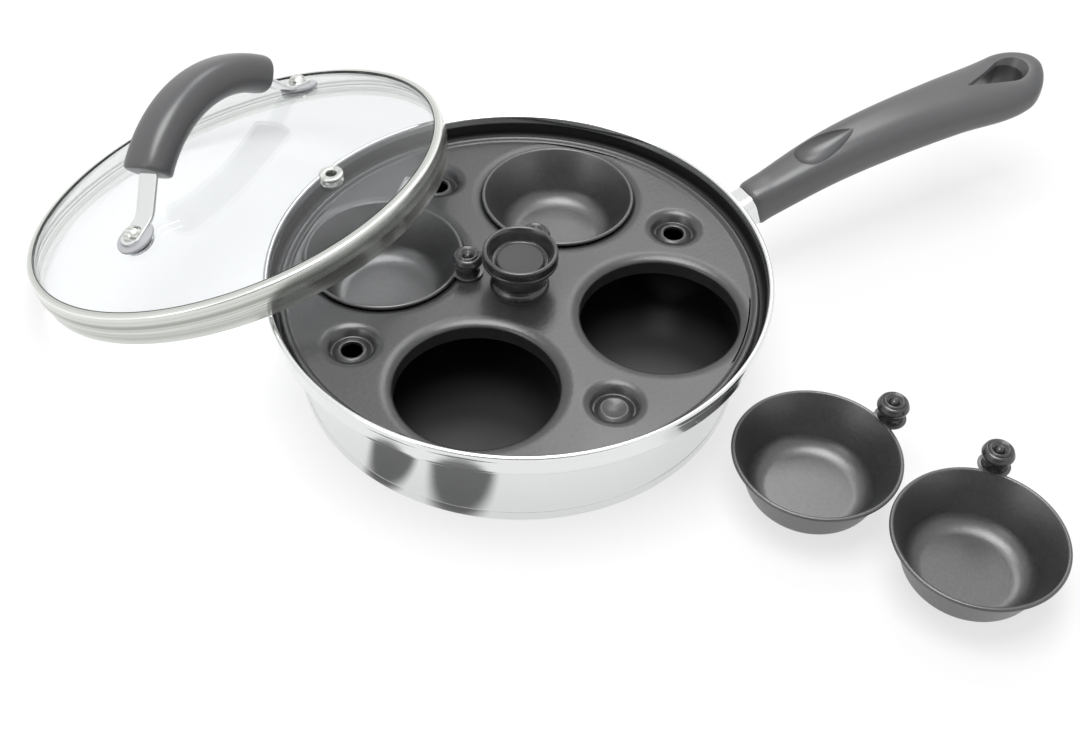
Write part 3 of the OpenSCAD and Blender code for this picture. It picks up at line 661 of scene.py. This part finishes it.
# %% Make the tray
tray = finish_piece("tray_sheet", tray_mesh(), "tray", "nonstick_tray", ["poaching_tray"],
                    lifted(TRAY_Z), 60)
print("tray top at", round(TRAY_Z, 2), "mm, faces", len(tray.data.polygons))

# %% [markdown]
# ## The knobs
# The tray knob is a glossy funnel with a raised disc in its hollow. Every cup has
# a small knob of the same plastic, dished, with a rivet through its middle.

# %% Tray knob
KNOB_H, NECK, PLUG_R, PLUG_T = 18.5, 10.4, 10.0, 2.0
KNOB_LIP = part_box("tray_knob")[1].x / MM
PLUG_TOP = KNOB_H - 4.7


def tray_knob_outline():
    """The funnel, from the middle of its foot round to its hollow."""
    lip, top = KNOB_LIP, KNOB_H
    return ([(0, 0), (NECK + 1.9, 0), (NECK + 1.9, 0.6)]
            + arc((NECK + 3.4, 4.6), 3.4, 234, 165, 8)
            + [(NECK + 0.6, top * 0.46), (NECK + 1.6, top * 0.58), (lip - 2.2, top - 6.0)]
            + arc((lip - 1.0, top - 5.2), 0.8, -95, 5, 8)
            + [(lip - 0.4, top - 4.5), (lip - 0.75, top - 4.2)]
            + arc((lip - 0.9, top - 3.4), 0.8, -45, 20, 6)
            + arc((lip - 1.35, top - 1.0), 1.0, 20, 150, 12)
            + [(lip - 2.7, top - 1.5), (PLUG_R + 1.9, PLUG_TOP - 0.3)]
            + arc((PLUG_R + 1.0, PLUG_TOP - 0.5), 0.7, -40, -130, 5)
            + [(PLUG_R, PLUG_TOP - 1.2), (PLUG_R, PLUG_TOP - PLUG_T), (0, PLUG_TOP - PLUG_T)])


def plug_outline():
    """The raised disc, flat with a rounded edge."""
    return ([(0, 0), (PLUG_R, 0)] + arc((PLUG_R - 0.9, PLUG_T - 0.9), 0.9, 0, 90, 8)
            + [(PLUG_R - 1.6, PLUG_T - 0.02), (PLUG_R - 3.0, PLUG_T - 0.1), (0, PLUG_T - 0.15)])


finish_piece("tray_funnel_knob", spun(tray_knob_outline(), 128), "tray", "knob_plastic",
             ["tray_knob"], lifted(TRAY_Z))
finish_piece("tray_knob_disc", spun(plug_outline(), 96), "tray", "knob_satin",
             ["tray_knob_plug"], lifted(TRAY_Z + PLUG_TOP - PLUG_T))

# %% [markdown]
# ## The cups
# A cup is pressed like the tray: a flat foot, a wide bend, a steep wall and a
# curled rim. A flat tab carries the knob. Two cups sit in the tray with their
# knobs towards its middle, and two stand on the table.

# %% Cup sizes, in millimetres
CUP_H, CUP_T, CUP_BEAD, CUP_FOOT, CUP_BEND = 23.5, 0.9, 0.9, 17.0, 10.0
CUP_WALL = THROAT_R - 0.7
BEAD_AT = CUP_WALL + CUP_BEAD - 0.2
CUP_KNOB_AT, CUP_KNOB_R, CUP_KNOB_H, RIVET_R = 37.0, 6.45, 9.5, 1.3
TAB_T, TAB_W, TAB_EDGE = 0.9, 10.6, 0.25


# %% Cup outlines
def cup_outline():
    """The bowl's sheet and its curled rim."""
    slope = math.degrees(math.atan2(CUP_WALL - CUP_FOOT - CUP_BEND * 0.86, CUP_H - CUP_BEND))
    line = ([(0, 0)] + arc((CUP_FOOT, CUP_BEND), CUP_BEND, -90, -slope, 14)
            + [(CUP_WALL - 0.15, CUP_H - CUP_BEAD * 2.1)])
    curl = arc((BEAD_AT, CUP_H - CUP_BEAD), CUP_BEAD, -100, 165, 16)
    return line + curl + beside(line, CUP_T)[::-1]


def cup_knob_outline():
    """The small knob: a narrow neck, a round shoulder and a shallow dish round the rivet."""
    r, h = CUP_KNOB_R, CUP_KNOB_H
    return ([(0, 0), (r - 1.3, 0), (r - 1.5, 0.5), (r - 1.7, 1.4), (r - 1.7, h * 0.28)]
            + [(r - 1.3, h * 0.40), (r - 0.6, h * 0.52)]
            + arc((r - 1.5, h - 3.2), 1.5, -25, 35, 8) + arc((r - 2.0, h - 2.1), 1.6, 35, 80, 8)
            + [(r - 2.1, h - 0.75), (r - 2.3, h - 0.45)] + arc((r - 2.9, h - 0.55), 0.5, 30, 120, 5)
            + [(r - 3.6, h - 0.6), (RIVET_R + 0.8, h - 1.1), (RIVET_R + 0.8, h - 2), (0, h - 2)])


def cup_rivet_outline():
    """The rivet's round head and its shank."""
    top = TAB_T + CUP_KNOB_H - 2
    head = RIVET_R + 0.7
    return ([(0, 0), (RIVET_R, 0), (RIVET_R, top), (head, top), (head, top + 0.5)]
            + arc((0, top + 0.2), head, 15, 90, 8))


def tab_mesh():
    """The flat tab: a disc and a neck, drawn as one outline and extruded."""
    bm = bmesh.new()
    half = TAB_W / 2
    start = math.degrees(math.asin(half / CUP_KNOB_R))
    root = math.sqrt(CUP_WALL ** 2 - half ** 2) + 0.3
    round_end = [(CUP_KNOB_AT + x, y)
                 for x, y in arc((0, 0), CUP_KNOB_R, start - 180, 180 - start, 36)]
    outline = [(root, -half)] + round_end + [(root, half)]
    base = CUP_H - TAB_T
    face = bm.faces.new([bm.verts.new((x * MM, y * MM, base * MM)) for x, y in outline])
    grown = bmesh.ops.extrude_face_region(bm, geom=[face])
    top = [v for v in grown["geom"] if isinstance(v, bmesh.types.BMVert)]
    bmesh.ops.translate(bm, vec=(0, 0, TAB_T * MM), verts=top)
    bmesh.ops.recalc_face_normals(bm, faces=bm.faces)
    rims = [e for e in bm.edges if abs(e.verts[0].co.z - e.verts[1].co.z) < SAME_POINT]
    bmesh.ops.bevel(bm, geom=rims, offset=TAB_EDGE * MM, segments=2, profile=0.5,
                    affect="EDGES", material=-1)
    return bm


# %% Cup places
def cup_place(number):
    """Where a cup stands, read from its CAD bowl and knob."""
    low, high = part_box(f"cup_bowl_{number}")
    knob_low, knob_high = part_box(f"cup_knob_{number}")
    knob = (knob_low + knob_high) / 2
    if number <= 2:
        direction = math.radians(OPENING_DIRS[2 - number])
        centre = Vector((math.cos(direction), math.sin(direction), 0)) * PITCH_R * MM
    else:
        rim = BEAD_AT + CUP_BEAD
        centre = Vector((low.x + rim * MM, low.y + rim * MM, 0))
    centre.z = low.z
    turn = math.atan2(knob.y - centre.y, knob.x - centre.x)
    return Matrix.Translation(centre) @ Matrix.Rotation(turn, 4, "Z")


# %% Make the cups
for number in (1, 2, 3, 4):
    body = f"cup_{number}"
    place = cup_place(number)
    tab_place = place @ Matrix.Translation((CUP_KNOB_AT * MM, 0, 0))
    finish_piece(f"cup_{number}_dish", spun(cup_outline(), 128), body, "nonstick_cup",
                 [f"cup_bowl_{number}"], place, 50)
    finish_piece(f"cup_{number}_tab", tab_mesh(), body, "nonstick_cup", (), place, 32)
    finish_piece(f"cup_{number}_grip", spun(cup_knob_outline(), 72), body, "knob_plastic",
                 [f"cup_knob_{number}"], tab_place @ lifted(CUP_H))
    finish_piece(f"cup_{number}_rivet", spun(cup_rivet_outline(), 40), body, "black_rivet",
                 [f"cup_knob_rivet_{number}"], tab_place @ lifted(CUP_H - TAB_T))
print("cups made: 4")

# %% [markdown]
# ## The lid's own frame
# The lid leans on the pan's lip with its lowest edge on the table. Its pieces are
# drawn level, about its own axis, and one matrix then leans them all, so that
# they stay square to each other.

# %% Lid sizes, in millimetres
BAND_R, BAND_H, FLANGE_H, SKIRT_STEP, BAND_T = 96.0, 13.0, 7.0, 1.4, 0.7
DOME_H, GLASS_T = 20.4, 3.5
LID_TURN, VENT_AT, VENT_DIR, VENT_TUBE_R = -3.0, 65.0, 172.0, 3.6
FOOT_AT, FOOT_TOE, FOOT_HEEL, FOOT_ROUND = 58.9, 2.6, 10, 5.6
STRAP_W, STRAP_T, ARCH_H = 9.6, 1.5, 45.5
LID_GRIP_HALF, LID_GRIP_W, LID_GRIP_H = 39.0, 20.0, 17.0
LID_RIVET_R, SEAL_R, SEAL_T, WASHER_R, WASHER_T = 2.2, 8.5, 1.6, 6.5, 1.3
UNDER_GLASS = -GLASS_T - 0.11
GLASS_R = BAND_R - BAND_T - 0.1
SKIRT_R = BAND_R - SKIRT_STEP
DOME_R = (GLASS_R ** 2 + DOME_H ** 2) / (2 * DOME_H)
DOME_MID = DOME_H - DOME_R
FOOT_ANGLE = math.asin(FOOT_AT / DOME_R)
VENT_ANGLE = math.asin(VENT_AT / DOME_R)


# %% Lid place
LID_LEAN, LID_DIR, LID_AT = 18.7, 126, 134.602
LID_RISE = SKIRT_R * math.sin(math.radians(LID_LEAN))
LID = (turned_by(LID_DIR) @ Matrix.Translation((LID_AT * MM, 0, LID_RISE * MM))
       @ turned_by(LID_LEAN, "Y") @ lifted(BAND_H))
print("lid centre", [round(v / MM, 1) for v in LID.translation])

# %% [markdown]
# ## The lid's steel
# The band is rolled from thin bright sheet. Its colour carries lines along it,
# partly faint rolling lines and partly painted reflection stripes, and painted
# shade darkens the folds over the glass and under the wide part. The pattern is
# worked out in the lid's own frame, so that the lines follow the leaning band.

# %% Lid steel
HOOK_R, SEAM_HALF, LINE_SCALE = BAND_R - 3.4, 0.35, 420.0
# Line colours: partly rolling lines, partly painted reflection stripes. Fold colour: painted shade.
LINE_AND_REFLECTION_DARK, LINE_AND_REFLECTION_LIGHT, PAINTED_FOLD_SHADE = (0.30, 0.32, 0.28, 1), (0.97, 0.98, 0.95, 1), (0.05, 0.055, 0.05, 1)


def seam(tree, source, at):
    """1 on a narrow line where a measure, in metres, has a value in millimetres."""
    return add_node(tree, "ShaderNodeMath", {0: source, 1: at * MM, 2: SEAM_HALF * MM},
                    operation="COMPARE").outputs[0]


def rolled_steel():
    """Bright steel with lines about the lid's axis, partly rolling lines and partly painted
    reflection stripes, and painted shade in the folds.
    """
    own = LID.inverted()
    tree, shader = new_material("lid_steel", "lid_steel")
    lines = add_node(tree, "ShaderNodeGroup", {
        "Ring Scale": LINE_SCALE, "Turn": own.to_euler(), "Move": own.translation},
        node_tree=TURNED).outputs
    shade = tint(tree, spread(tree, lines["Rings"], 0, 1), LINE_AND_REFLECTION_DARK, LINE_AND_REFLECTION_LIGHT)
    # Painted shade: a dark line on the folds over the glass and under the wide part.
    fold_shade_mask = add_node(tree, "ShaderNodeMath", {
        0: seam(tree, lines["Radius"], HOOK_R + 0.1),
        1: seam(tree, lines["Height"], -FLANGE_H - 0.15)}, operation="MAXIMUM")
    feed(shader, {"Base Color": tint(tree, fold_shade_mask.outputs[0], shade, PAINTED_FOLD_SHADE), "Metallic": 0.75,
                  "Roughness": spread(tree, lines["Rings"], 0.22, 0.12)})


rolled_steel()


def dome_z(radius, depth=0.0):
    """Height of the glass's face at a radius, at a depth below its upper face."""
    return math.sqrt((DOME_R - depth) ** 2 - radius ** 2) + DOME_MID


def band_outline():
    """The rolled band: hook over the glass, wide flange, step and skirt."""
    hook, hold = HOOK_R, BAND_R - 4.2
    top = dome_z(hook)
    return ([(hook, top + 0.03), (hook - 0.1, top + 0.35), (hook, top + BAND_T)]
            + arc((BAND_R - 1.2, 0.1), 1.2, 75, 0, 8)
            + arc((BAND_R - 0.5, -FLANGE_H + 0.7), 0.5, 0, -60, 4)
            + arc((SKIRT_R + 0.45, -FLANGE_H - 0.45), 0.45, 120, 180, 4)
            + arc((SKIRT_R - 0.2, -BAND_H + 0.2), 0.2, 0, -90, 3)
            + [(SKIRT_R - BAND_T, -BAND_H), (SKIRT_R - BAND_T, -FLANGE_H - 0.2)]
            + [(hold, dome_z(hold, GLASS_T) - BAND_T), (hold, dome_z(hold, GLASS_T))]
            + [(BAND_R - BAND_T, dome_z(GLASS_R, GLASS_T)), (BAND_R - BAND_T, 0.03),
               (GLASS_R, 0.03)])


# %% [markdown]
# ## Glass, band and vent
# The glass is a shallow dome, ground round at its edge, with a hole drilled for
# the vent. The steel band is rolled round it. The vent is an eyelet set in the
# hole and curled over at both ends.

# %% Lid body
def glass_outline():
    """The dome's upper face, its rounded edge and its lower face."""
    radii = [GLASS_R * i / 40 for i in range(41)]
    upper = [(r, dome_z(r)) for r in radii]
    lower = [(r, dome_z(r, GLASS_T)) for r in radii]
    return upper + lower[::-1]


def on_dome(angle, direction):
    """The matrix that stands a piece on the dome, square to the glass."""
    return (turned_by(direction) @ lifted(DOME_MID) @ Matrix.Rotation(angle, 4, "Y")
            @ lifted(DOME_R))


def eyelet_outline():
    """The curled eyelet of the steam vent."""
    tube, flange, under, curl = VENT_TUBE_R, 5.0, -GLASS_T, 0.95
    return (arc((flange - 0.9, curl), curl, -60, 90, 8) + arc((tube - 0.55, curl), curl, 90, 180, 8)
            + [(tube - 1.5, under - 0.6), (tube - 1.2, under - 1.0), (flange - 0.4, under - 1.0),
               (flange - 0.2, under - 0.6), (flange - 0.3, under - 0.1), (tube, under), (tube, 0)])


VENT = LID @ on_dome(VENT_ANGLE, VENT_DIR)
glass = finish_piece("lid_dome", spun(glass_outline(), 192), "lid", "lid_glass", ["lid_glass"], LID)
finish_piece("lid_rolled_band", spun(band_outline(), 256), "lid", "lid_steel", ["lid_band"], LID)
finish_piece("lid_vent_ring", spun(eyelet_outline(), 64), "lid", "lid_steel",
             ["lid_vent_eyelet"], VENT)


# %% [markdown]
# ## The lid's handle
# A steel strap is bent up from two feet that follow the dome. Its middle runs
# through a moulded grip. Each foot has a rivet, a soft washer above the glass and
# a steel washer below it.

# %% Strap path
GRIP_END, GRIP_DROP = LID_GRIP_HALF - 4, 11.0
ARCH_R = (GRIP_END ** 2 + GRIP_DROP ** 2) / (2 * GRIP_DROP)
ARCH_MID = ARCH_H - ARCH_R
HANDLE = LID @ turned_by(LID_TURN + 90)


def smooth_bend(points, bend):
    """Rounds the inner corners of a path with short curves."""
    out, steps = [points[0]], 5
    for before, corner, after in zip(points, points[1:], points[2:]):
        before, corner, after = Vector(before), Vector(corner), Vector(after)
        enter, leave = (corner + way.normalized() * min(bend, way.length * 0.45)
                        for way in (before - corner, after - corner))
        for i in range(steps + 1):
            t = i / steps
            out.append(tuple(enter * (1 - t) ** 2 + corner * 2 * t * (1 - t) + leave * t ** 2))
    return out + [points[-1]]


def strap_path():
    """The strap's lower line from one foot to the other, as distance, height, half width."""
    lift = DOME_R + SEAL_T
    along = Vector((math.cos(FOOT_ANGLE), -math.sin(FOOT_ANGLE)))
    foot = Vector((math.sin(FOOT_ANGLE), math.cos(FOOT_ANGLE))) * lift + Vector((0, DOME_MID))
    end = math.degrees(math.asin(GRIP_END / ARCH_R))
    arch = arc((0, ARCH_MID - STRAP_T / 2), ARCH_R, 90 - end, 90, 8)
    bent = smooth_bend([tuple(foot + along * FOOT_TOE), tuple(foot - along * FOOT_HEEL),
                        arch[0], arch[1]], 3.0)
    tip = [(d, min(STRAP_W / 2, math.sqrt(FOOT_ROUND ** 2 - d * d)))
           for d in (5.59, 5.5, 5.2, 4.7, 4, 3.3)]
    half = [(*(foot + along * d), w) for d, w in tip]
    half += [(x, z, STRAP_W / 2) for x, z in bent + arch[2:]]
    return half + [(-x, z, w) for x, z, w in half[-2::-1]]


def strap_mesh():
    """A strip bridged from rung to rung along the path."""
    bm = bmesh.new()
    rungs = [bm.edges.new([bm.verts.new(Vector((x, side, z)) * MM) for side in (-w, w)])
             for x, z, w in strap_path()]
    for near, far in zip(rungs, rungs[1:]):
        bmesh.ops.bridge_loops(bm, edges=[near, far])
    bmesh.ops.recalc_face_normals(bm, faces=bm.faces)
    if sum(f.normal.z for f in bm.faces) < 0:
        bmesh.ops.reverse_faces(bm, faces=bm.faces)
    return bm


# %% Make the strap
strap = finish_piece("lid_bent_strap", strap_mesh(), "lid", "polished_steel", ["lid_strap"],
                     HANDLE, 50)
wall = strap.modifiers.new("wall", "SOLIDIFY")
wall.thickness = STRAP_T * MM
wall.offset = 1
wall.use_even_offset = True
edges = strap.modifiers.new("edges", "BEVEL")
edges.width = 0.3 * MM
edges.segments = 2
edges.limit_method = "ANGLE"
edges.angle_limit = math.radians(60)
print("strap rungs", len(strap_path()))

# %% [markdown]
# ## Moulded grips
# A moulded grip is a soft rectangle in section. Its rings are placed along a
# curve and bridged in pairs, which gives full control of width and depth at
# every station. The ends are closed with a few shrinking rings.

# %% Grip helpers
def squircle(count, width, height, soft=0.72):
    """A soft rectangle as points across and up, in millimetres."""
    circle = arc((0, 0), 1, 0, 360, count)[:-1]
    return [(width / 2 * math.copysign(abs(c) ** soft, c),
             height / 2 * math.copysign(abs(s) ** soft, s)) for c, s in circle]


def loft(rings, closed=False):
    """A bmesh bridged from ring to ring, capped at its ends or closed on itself."""
    bm = bmesh.new()
    loops = []
    for ring in rings:
        verts = [bm.verts.new(Vector(p) * MM) for p in ring]
        loops.append([bm.edges.new(pair) for pair in zip(verts, verts[1:] + verts[:1])])
    pairs = list(zip(loops, loops[1:])) + ([(loops[-1], loops[0])] if closed else [])
    for near, far in pairs:
        bmesh.ops.bridge_loops(bm, edges=near + far)
    if not closed:
        bmesh.ops.holes_fill(bm, edges=loops[0] + loops[-1], sides=0)
    bmesh.ops.recalc_face_normals(bm, faces=bm.faces)
    return bm


def cut_away(piece, cutter):
    """Takes a bmesh's solid out of a piece."""
    tool = new_object("cutter", cutter)
    cut = piece.modifiers.new("cut", "BOOLEAN")
    cut.solver = "EXACT"
    cut.object = tool
    graph = bpy.context.evaluated_depsgraph_get()
    left = bpy.data.meshes.new_from_object(piece.evaluated_get(graph))
    piece.modifiers.clear()
    spent = (piece.data, tool.data)
    piece.data = left
    bpy.data.objects.remove(tool)
    for mesh in spent:
        bpy.data.meshes.remove(mesh)


# %% Lid grip
def lid_grip_rings():
    """Rings along the arch, a little smaller at both ends."""
    ends = [(1, 0.80), (0.997, 0.89), (0.989, 0.95), (0.977, 0.985), (0.96, 1)]
    stations = (ends + [(0.96 - 0.08 * i, 1) for i in range(1, 24)]
                + [(-s, k) for s, k in ends[::-1]])
    half = math.asin(LID_GRIP_HALF / ARCH_R)
    return [[((ARCH_R + up) * math.sin(share * half), across,
              ARCH_MID + (ARCH_R + up) * math.cos(share * half))
             for across, up in squircle(48, LID_GRIP_W * k, LID_GRIP_H * k, 0.74)]
            for share, k in stations]


finish_piece("lid_moulded_grip", loft(lid_grip_rings()), "lid", "handle_plastic", ["lid_grip"],
             HANDLE)


# %% Rivets and washers of the lid
def rivet_outline():
    """The rivet, from the closed head below the glass to the dome above the strap."""
    under, top = UNDER_GLASS - WASHER_T, SEAL_T + STRAP_T
    return ([(0, under - 1.4), (3.0, under - 1.4), (3.6, under - 1.0),
             (4.2, under), (LID_RIVET_R, under), (LID_RIVET_R, top)]
            + arc((0, top - 1.4), 4.5, 18, 90, 12))


def seal_outline():
    """The soft washer under a foot, with rounded edges."""
    soft = 0.5
    return ([(LID_RIVET_R, 0)] + arc((SEAL_R - soft, soft), soft, -90, 0, 5)
            + arc((SEAL_R - soft, SEAL_T - soft), soft, 0, 90, 5) + [(LID_RIVET_R, SEAL_T)])


def inner_washer_outline():
    """The steel washer against the glass from below."""
    top, foot = UNDER_GLASS, UNDER_GLASS - WASHER_T
    return [(LID_RIVET_R, top), (LID_RIVET_R, foot), (WASHER_R - 0.2, foot),
            (WASHER_R, foot + 0.2), (WASHER_R, top - 0.1), (WASHER_R - 0.1, top)]


FASTENERS = (("rivet", rivet_outline(), 48, "lid_steel", "lid_rivets"),
             ("seal", seal_outline(), 64, "seal_rubber", "lid_seal_washers"),
             ("washer", inner_washer_outline(), 48, "fastener_steel", "lid_inner_washers"))
for side, direction in (("left", 90), ("right", -90)):
    foot = LID @ turned_by(LID_TURN) @ on_dome(FOOT_ANGLE, direction)
    for kind, outline, steps, finish, node in FASTENERS:
        finish_piece(f"lid_{kind}_{side}", spun(outline, steps), "lid", finish,
                     [node] if side == "left" else (), foot)

vent_hole = bmesh.new()
bmesh.ops.create_cone(vent_hole, cap_ends=True, segments=64, radius1=VENT_TUBE_R * MM,
                      radius2=VENT_TUBE_R * MM, depth=20 * MM)
bmesh.ops.transform(vent_hole, matrix=VENT, verts=vent_hole.verts)
cut_away(glass, vent_hole)
print("glass faces", len(glass.data.polygons))

# %% [markdown]
# ## The long handle
# The grip climbs from the ferrule, swells at the palm and widens to a paddle at
# its far end. It has a dished thumb scoop and a teardrop hanging hole with a
# sloped edge. The rings follow the same stations as the CAD grip.

# %% Long handle sizes, in millimetres
GRIP_LEN, GRIP_X, GRIP_ROOT_Z, GRIP_RISE = 160.0, 116.0, 37.5, 17.0
ROOT_SLOPE = math.radians(19)
CLIMB = [(0, 0), (0.04, 0.13), (0.24, 0.65), (0.43, 0.89), (0.66, 1), (0.86, 1), (1, 1.32)]
WIDE = [(0, 16.5), (0.24, 22.88), (0.43, 26), (0.66, 30.86), (0.86, 35), (1, 30.8)]
DEEP = [(0, 19), (0.24, 19.4), (0.43, 20), (0.66, 17.75), (0.86, 17.5), (1, 16.98)]
NEAR_END, TAIL_FROM = 0.012, 1 - 16 / GRIP_LEN
ROOT = (Matrix.Translation((GRIP_X * MM, 0, GRIP_ROOT_Z * MM))
        @ Matrix.Rotation(-ROOT_SLOPE, 4, "Y"))


def smooth_at(stations, x):
    """The value at x on a smooth curve through stations."""
    k = 0
    while k < len(stations) - 2 and x > stations[k + 1][0]:
        k += 1
    a, b = stations[max(k - 1, 0)], stations[k]
    c, d = stations[k + 1], stations[min(k + 2, len(stations) - 1)]
    span = c[0] - b[0]
    t = (x - b[0]) / span
    mb = (c[1] - a[1]) / (c[0] - a[0]) * span
    mc = (d[1] - b[1]) / (d[0] - b[0]) * span
    return ((2 * t ** 3 - 3 * t ** 2 + 1) * b[1] + (t ** 3 - 2 * t ** 2 + t) * mb
            + (3 * t ** 2 - 2 * t ** 3) * c[1] + (t ** 3 - t ** 2) * mc)


# %% Long handle rings
def grip_ring(share, k=1.0, kh=1.0):
    """One ring of the grip, at a share of its length."""
    lean = max(0.0, 1 - share / 0.05)
    middle = GRIP_RISE * smooth_at(CLIMB, share)
    outline = squircle(96, smooth_at(WIDE, share) * k, smooth_at(DEEP, share) * kh)
    return [(GRIP_X + GRIP_LEN * share - lean * up * math.tan(ROOT_SLOPE), across,
             GRIP_ROOT_Z + middle + up) for across, up in outline]


def grip_rings():
    """Rings from the rounded near end to the rounded tail."""
    near = [grip_ring(NEAR_END * (1 - math.cos(a)), 0.84 + 0.16 * math.sin(a),
                      0.86 + 0.14 * math.sin(a)) for a in (0, 0.4, 0.8, 1.2)]
    body = [grip_ring(NEAR_END + (TAIL_FROM - NEAR_END) * i / 110) for i in range(111)]
    tail = [grip_ring(TAIL_FROM + (1 - TAIL_FROM) * math.sin(a), math.cos(a) ** 1.2,
                      math.sqrt(math.cos(a))) for a in (math.radians(3 * i) for i in range(1, 30))]
    return near + body + tail


def grip_top(at):
    """Height of the grip's top line at a distance from its near end."""
    share = at / GRIP_LEN
    return GRIP_ROOT_Z + GRIP_RISE * smooth_at(CLIMB, share) + smooth_at(DEEP, share) / 2


grip = finish_piece("long_handle_grip", loft(grip_rings()), "pan", "handle_plastic",
                    ["handle_grip"], None, 30)
print("grip faces", len(grip.data.polygons))

# %% Thumb scoop and hanging hole
SCOOP_AT, SCOOP_LEN, SCOOP_W = 29.5, 23.5, 16.0
SCOOP_BALL, SCOOP_LIFT, SCOOP_RUN, SCOOP_SWELL = SCOOP_W * 0.57, SCOOP_W * 0.28, 1.04, 1.8
HANG_AT, HANG_LEN, HANG_R = 142.0, 22.0, 7.0
MOUTH_DEPTH, MOUTH_H, MOUTH_FLARE = 2.2, 6.0, 1.5


def scoop_cutter():
    """A solid like a drop: half a ball that runs out to a point in swelled sides."""
    start = Vector((GRIP_X + SCOOP_AT, 0, grip_top(SCOOP_AT) + SCOOP_LIFT))
    end = Vector((GRIP_X + SCOOP_AT + SCOOP_LEN, 0, grip_top(SCOOP_AT + SCOOP_LEN) + 1))
    run = SCOOP_RUN * (end - start).length
    line = arc((0, 0), SCOOP_BALL, 180, 90, 24)
    line += [(run * k / 24, SCOOP_BALL * (1 - (k / 24) ** SCOOP_SWELL)) for k in range(1, 25)]
    bm = spun([(r, along) for along, r in line], 96, closed=False)
    turn = (end - start).to_track_quat("Z", "Y").to_matrix().to_4x4()
    bmesh.ops.transform(bm, matrix=Matrix.Translation(start * MM) @ turn, verts=bm.verts)
    return bm


def teardrop(scale):
    """The hanging hole's outline, round at the far side and pointed to the pan."""
    reach = math.degrees(math.acos(HANG_R / HANG_LEN))
    points = arc((0, 0), HANG_R, reach, 360 - reach, 40) + [(HANG_LEN, 0)]
    return [(-x * scale, y * scale) for x, y in points]


def prism(low, high, low_scale, high_scale):
    """A solid between two teardrops at two heights."""
    return loft([[(GRIP_X + HANG_AT + x, y, z) for x, y in teardrop(k)]
                 for z, k in ((low, low_scale), (high, high_scale))])


cut_away(grip, scoop_cutter())
mouth = grip_top(HANG_AT) - MOUTH_DEPTH
cut_away(grip, prism(mouth, mouth + MOUTH_H, 1, MOUTH_FLARE))
cut_away(grip, prism(GRIP_ROOT_Z, mouth + MOUTH_H, 1, 1))
grip.data.set_sharp_from_angle(angle=math.radians(30))
print("grip faces", len(grip.data.polygons))


# %% [markdown]
# ## The ferrule
# A short steel tube of soft rectangular section runs from the pan's wall to the
# grip. Its end is shaped to the round wall, so a copy of the space inside the
# pan's outer face is cut out of it.

# %% Ferrule
FERRULE_W, FERRULE_H, FERRULE_T, FERRULE_CORNER = 14.5, 17.0, 1.2, 5.0
FERRULE_LEN = ((GRIP_X - FOOT_R) / math.cos(ROOT_SLOPE)
               + FERRULE_H / 2 * math.tan(ROOT_SLOPE) + 1)


def ferrule_ring(at, inset):
    """The tube's section at a distance along the slope."""
    r = FERRULE_CORNER - inset
    y, z = FERRULE_W / 2 - inset - r, FERRULE_H / 2 - inset - r
    corners = ((y, z, 0), (-y, z, 90), (-y, -z, 180), (y, -z, 270))
    return [(at, *point) for cy, cz, turn in corners
            for point in arc((cy, cz), r, turn, turn + 90, 8)]


def ferrule_mesh():
    """The tube, closed at both ends by its own wall."""
    return loft([ferrule_ring(-FERRULE_LEN, 0), ferrule_ring(-0.3, 0), ferrule_ring(0, 0.3),
                 ferrule_ring(0, FERRULE_T), ferrule_ring(-FERRULE_LEN, FERRULE_T)], closed=True)


ferrule = finish_piece("handle_ferrule_tube", ferrule_mesh(), "pan", "polished_steel",
                       ["handle_ferrule"], ROOT)
cut_away(ferrule, spun(pan_line(PAN_H) + [(0, PAN_H)], 192, closed=False))
ferrule.data.set_sharp_from_angle(angle=math.radians(40))

# %% [markdown]
# ## Pieces carried over from the CAD
# The core in the base, the bracket inside the ferrule and the small screws are
# plain turned or pressed parts. Their CAD shapes stay, with the right finish.

# %% Finishes for the carried-over pieces
CARRIED = {"base_core": "aluminium_core", "handle_bracket": "bracket_steel",
           "handle_screw": "fastener_steel", "tray_knob_screw": "fastener_steel",
           "tray_knob_washer": "fastener_steel"}
for node, material in CARRIED.items():
    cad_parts[node].material_slots[0].material = FINISHES[material]
print("carried over:", sorted(CARRIED))
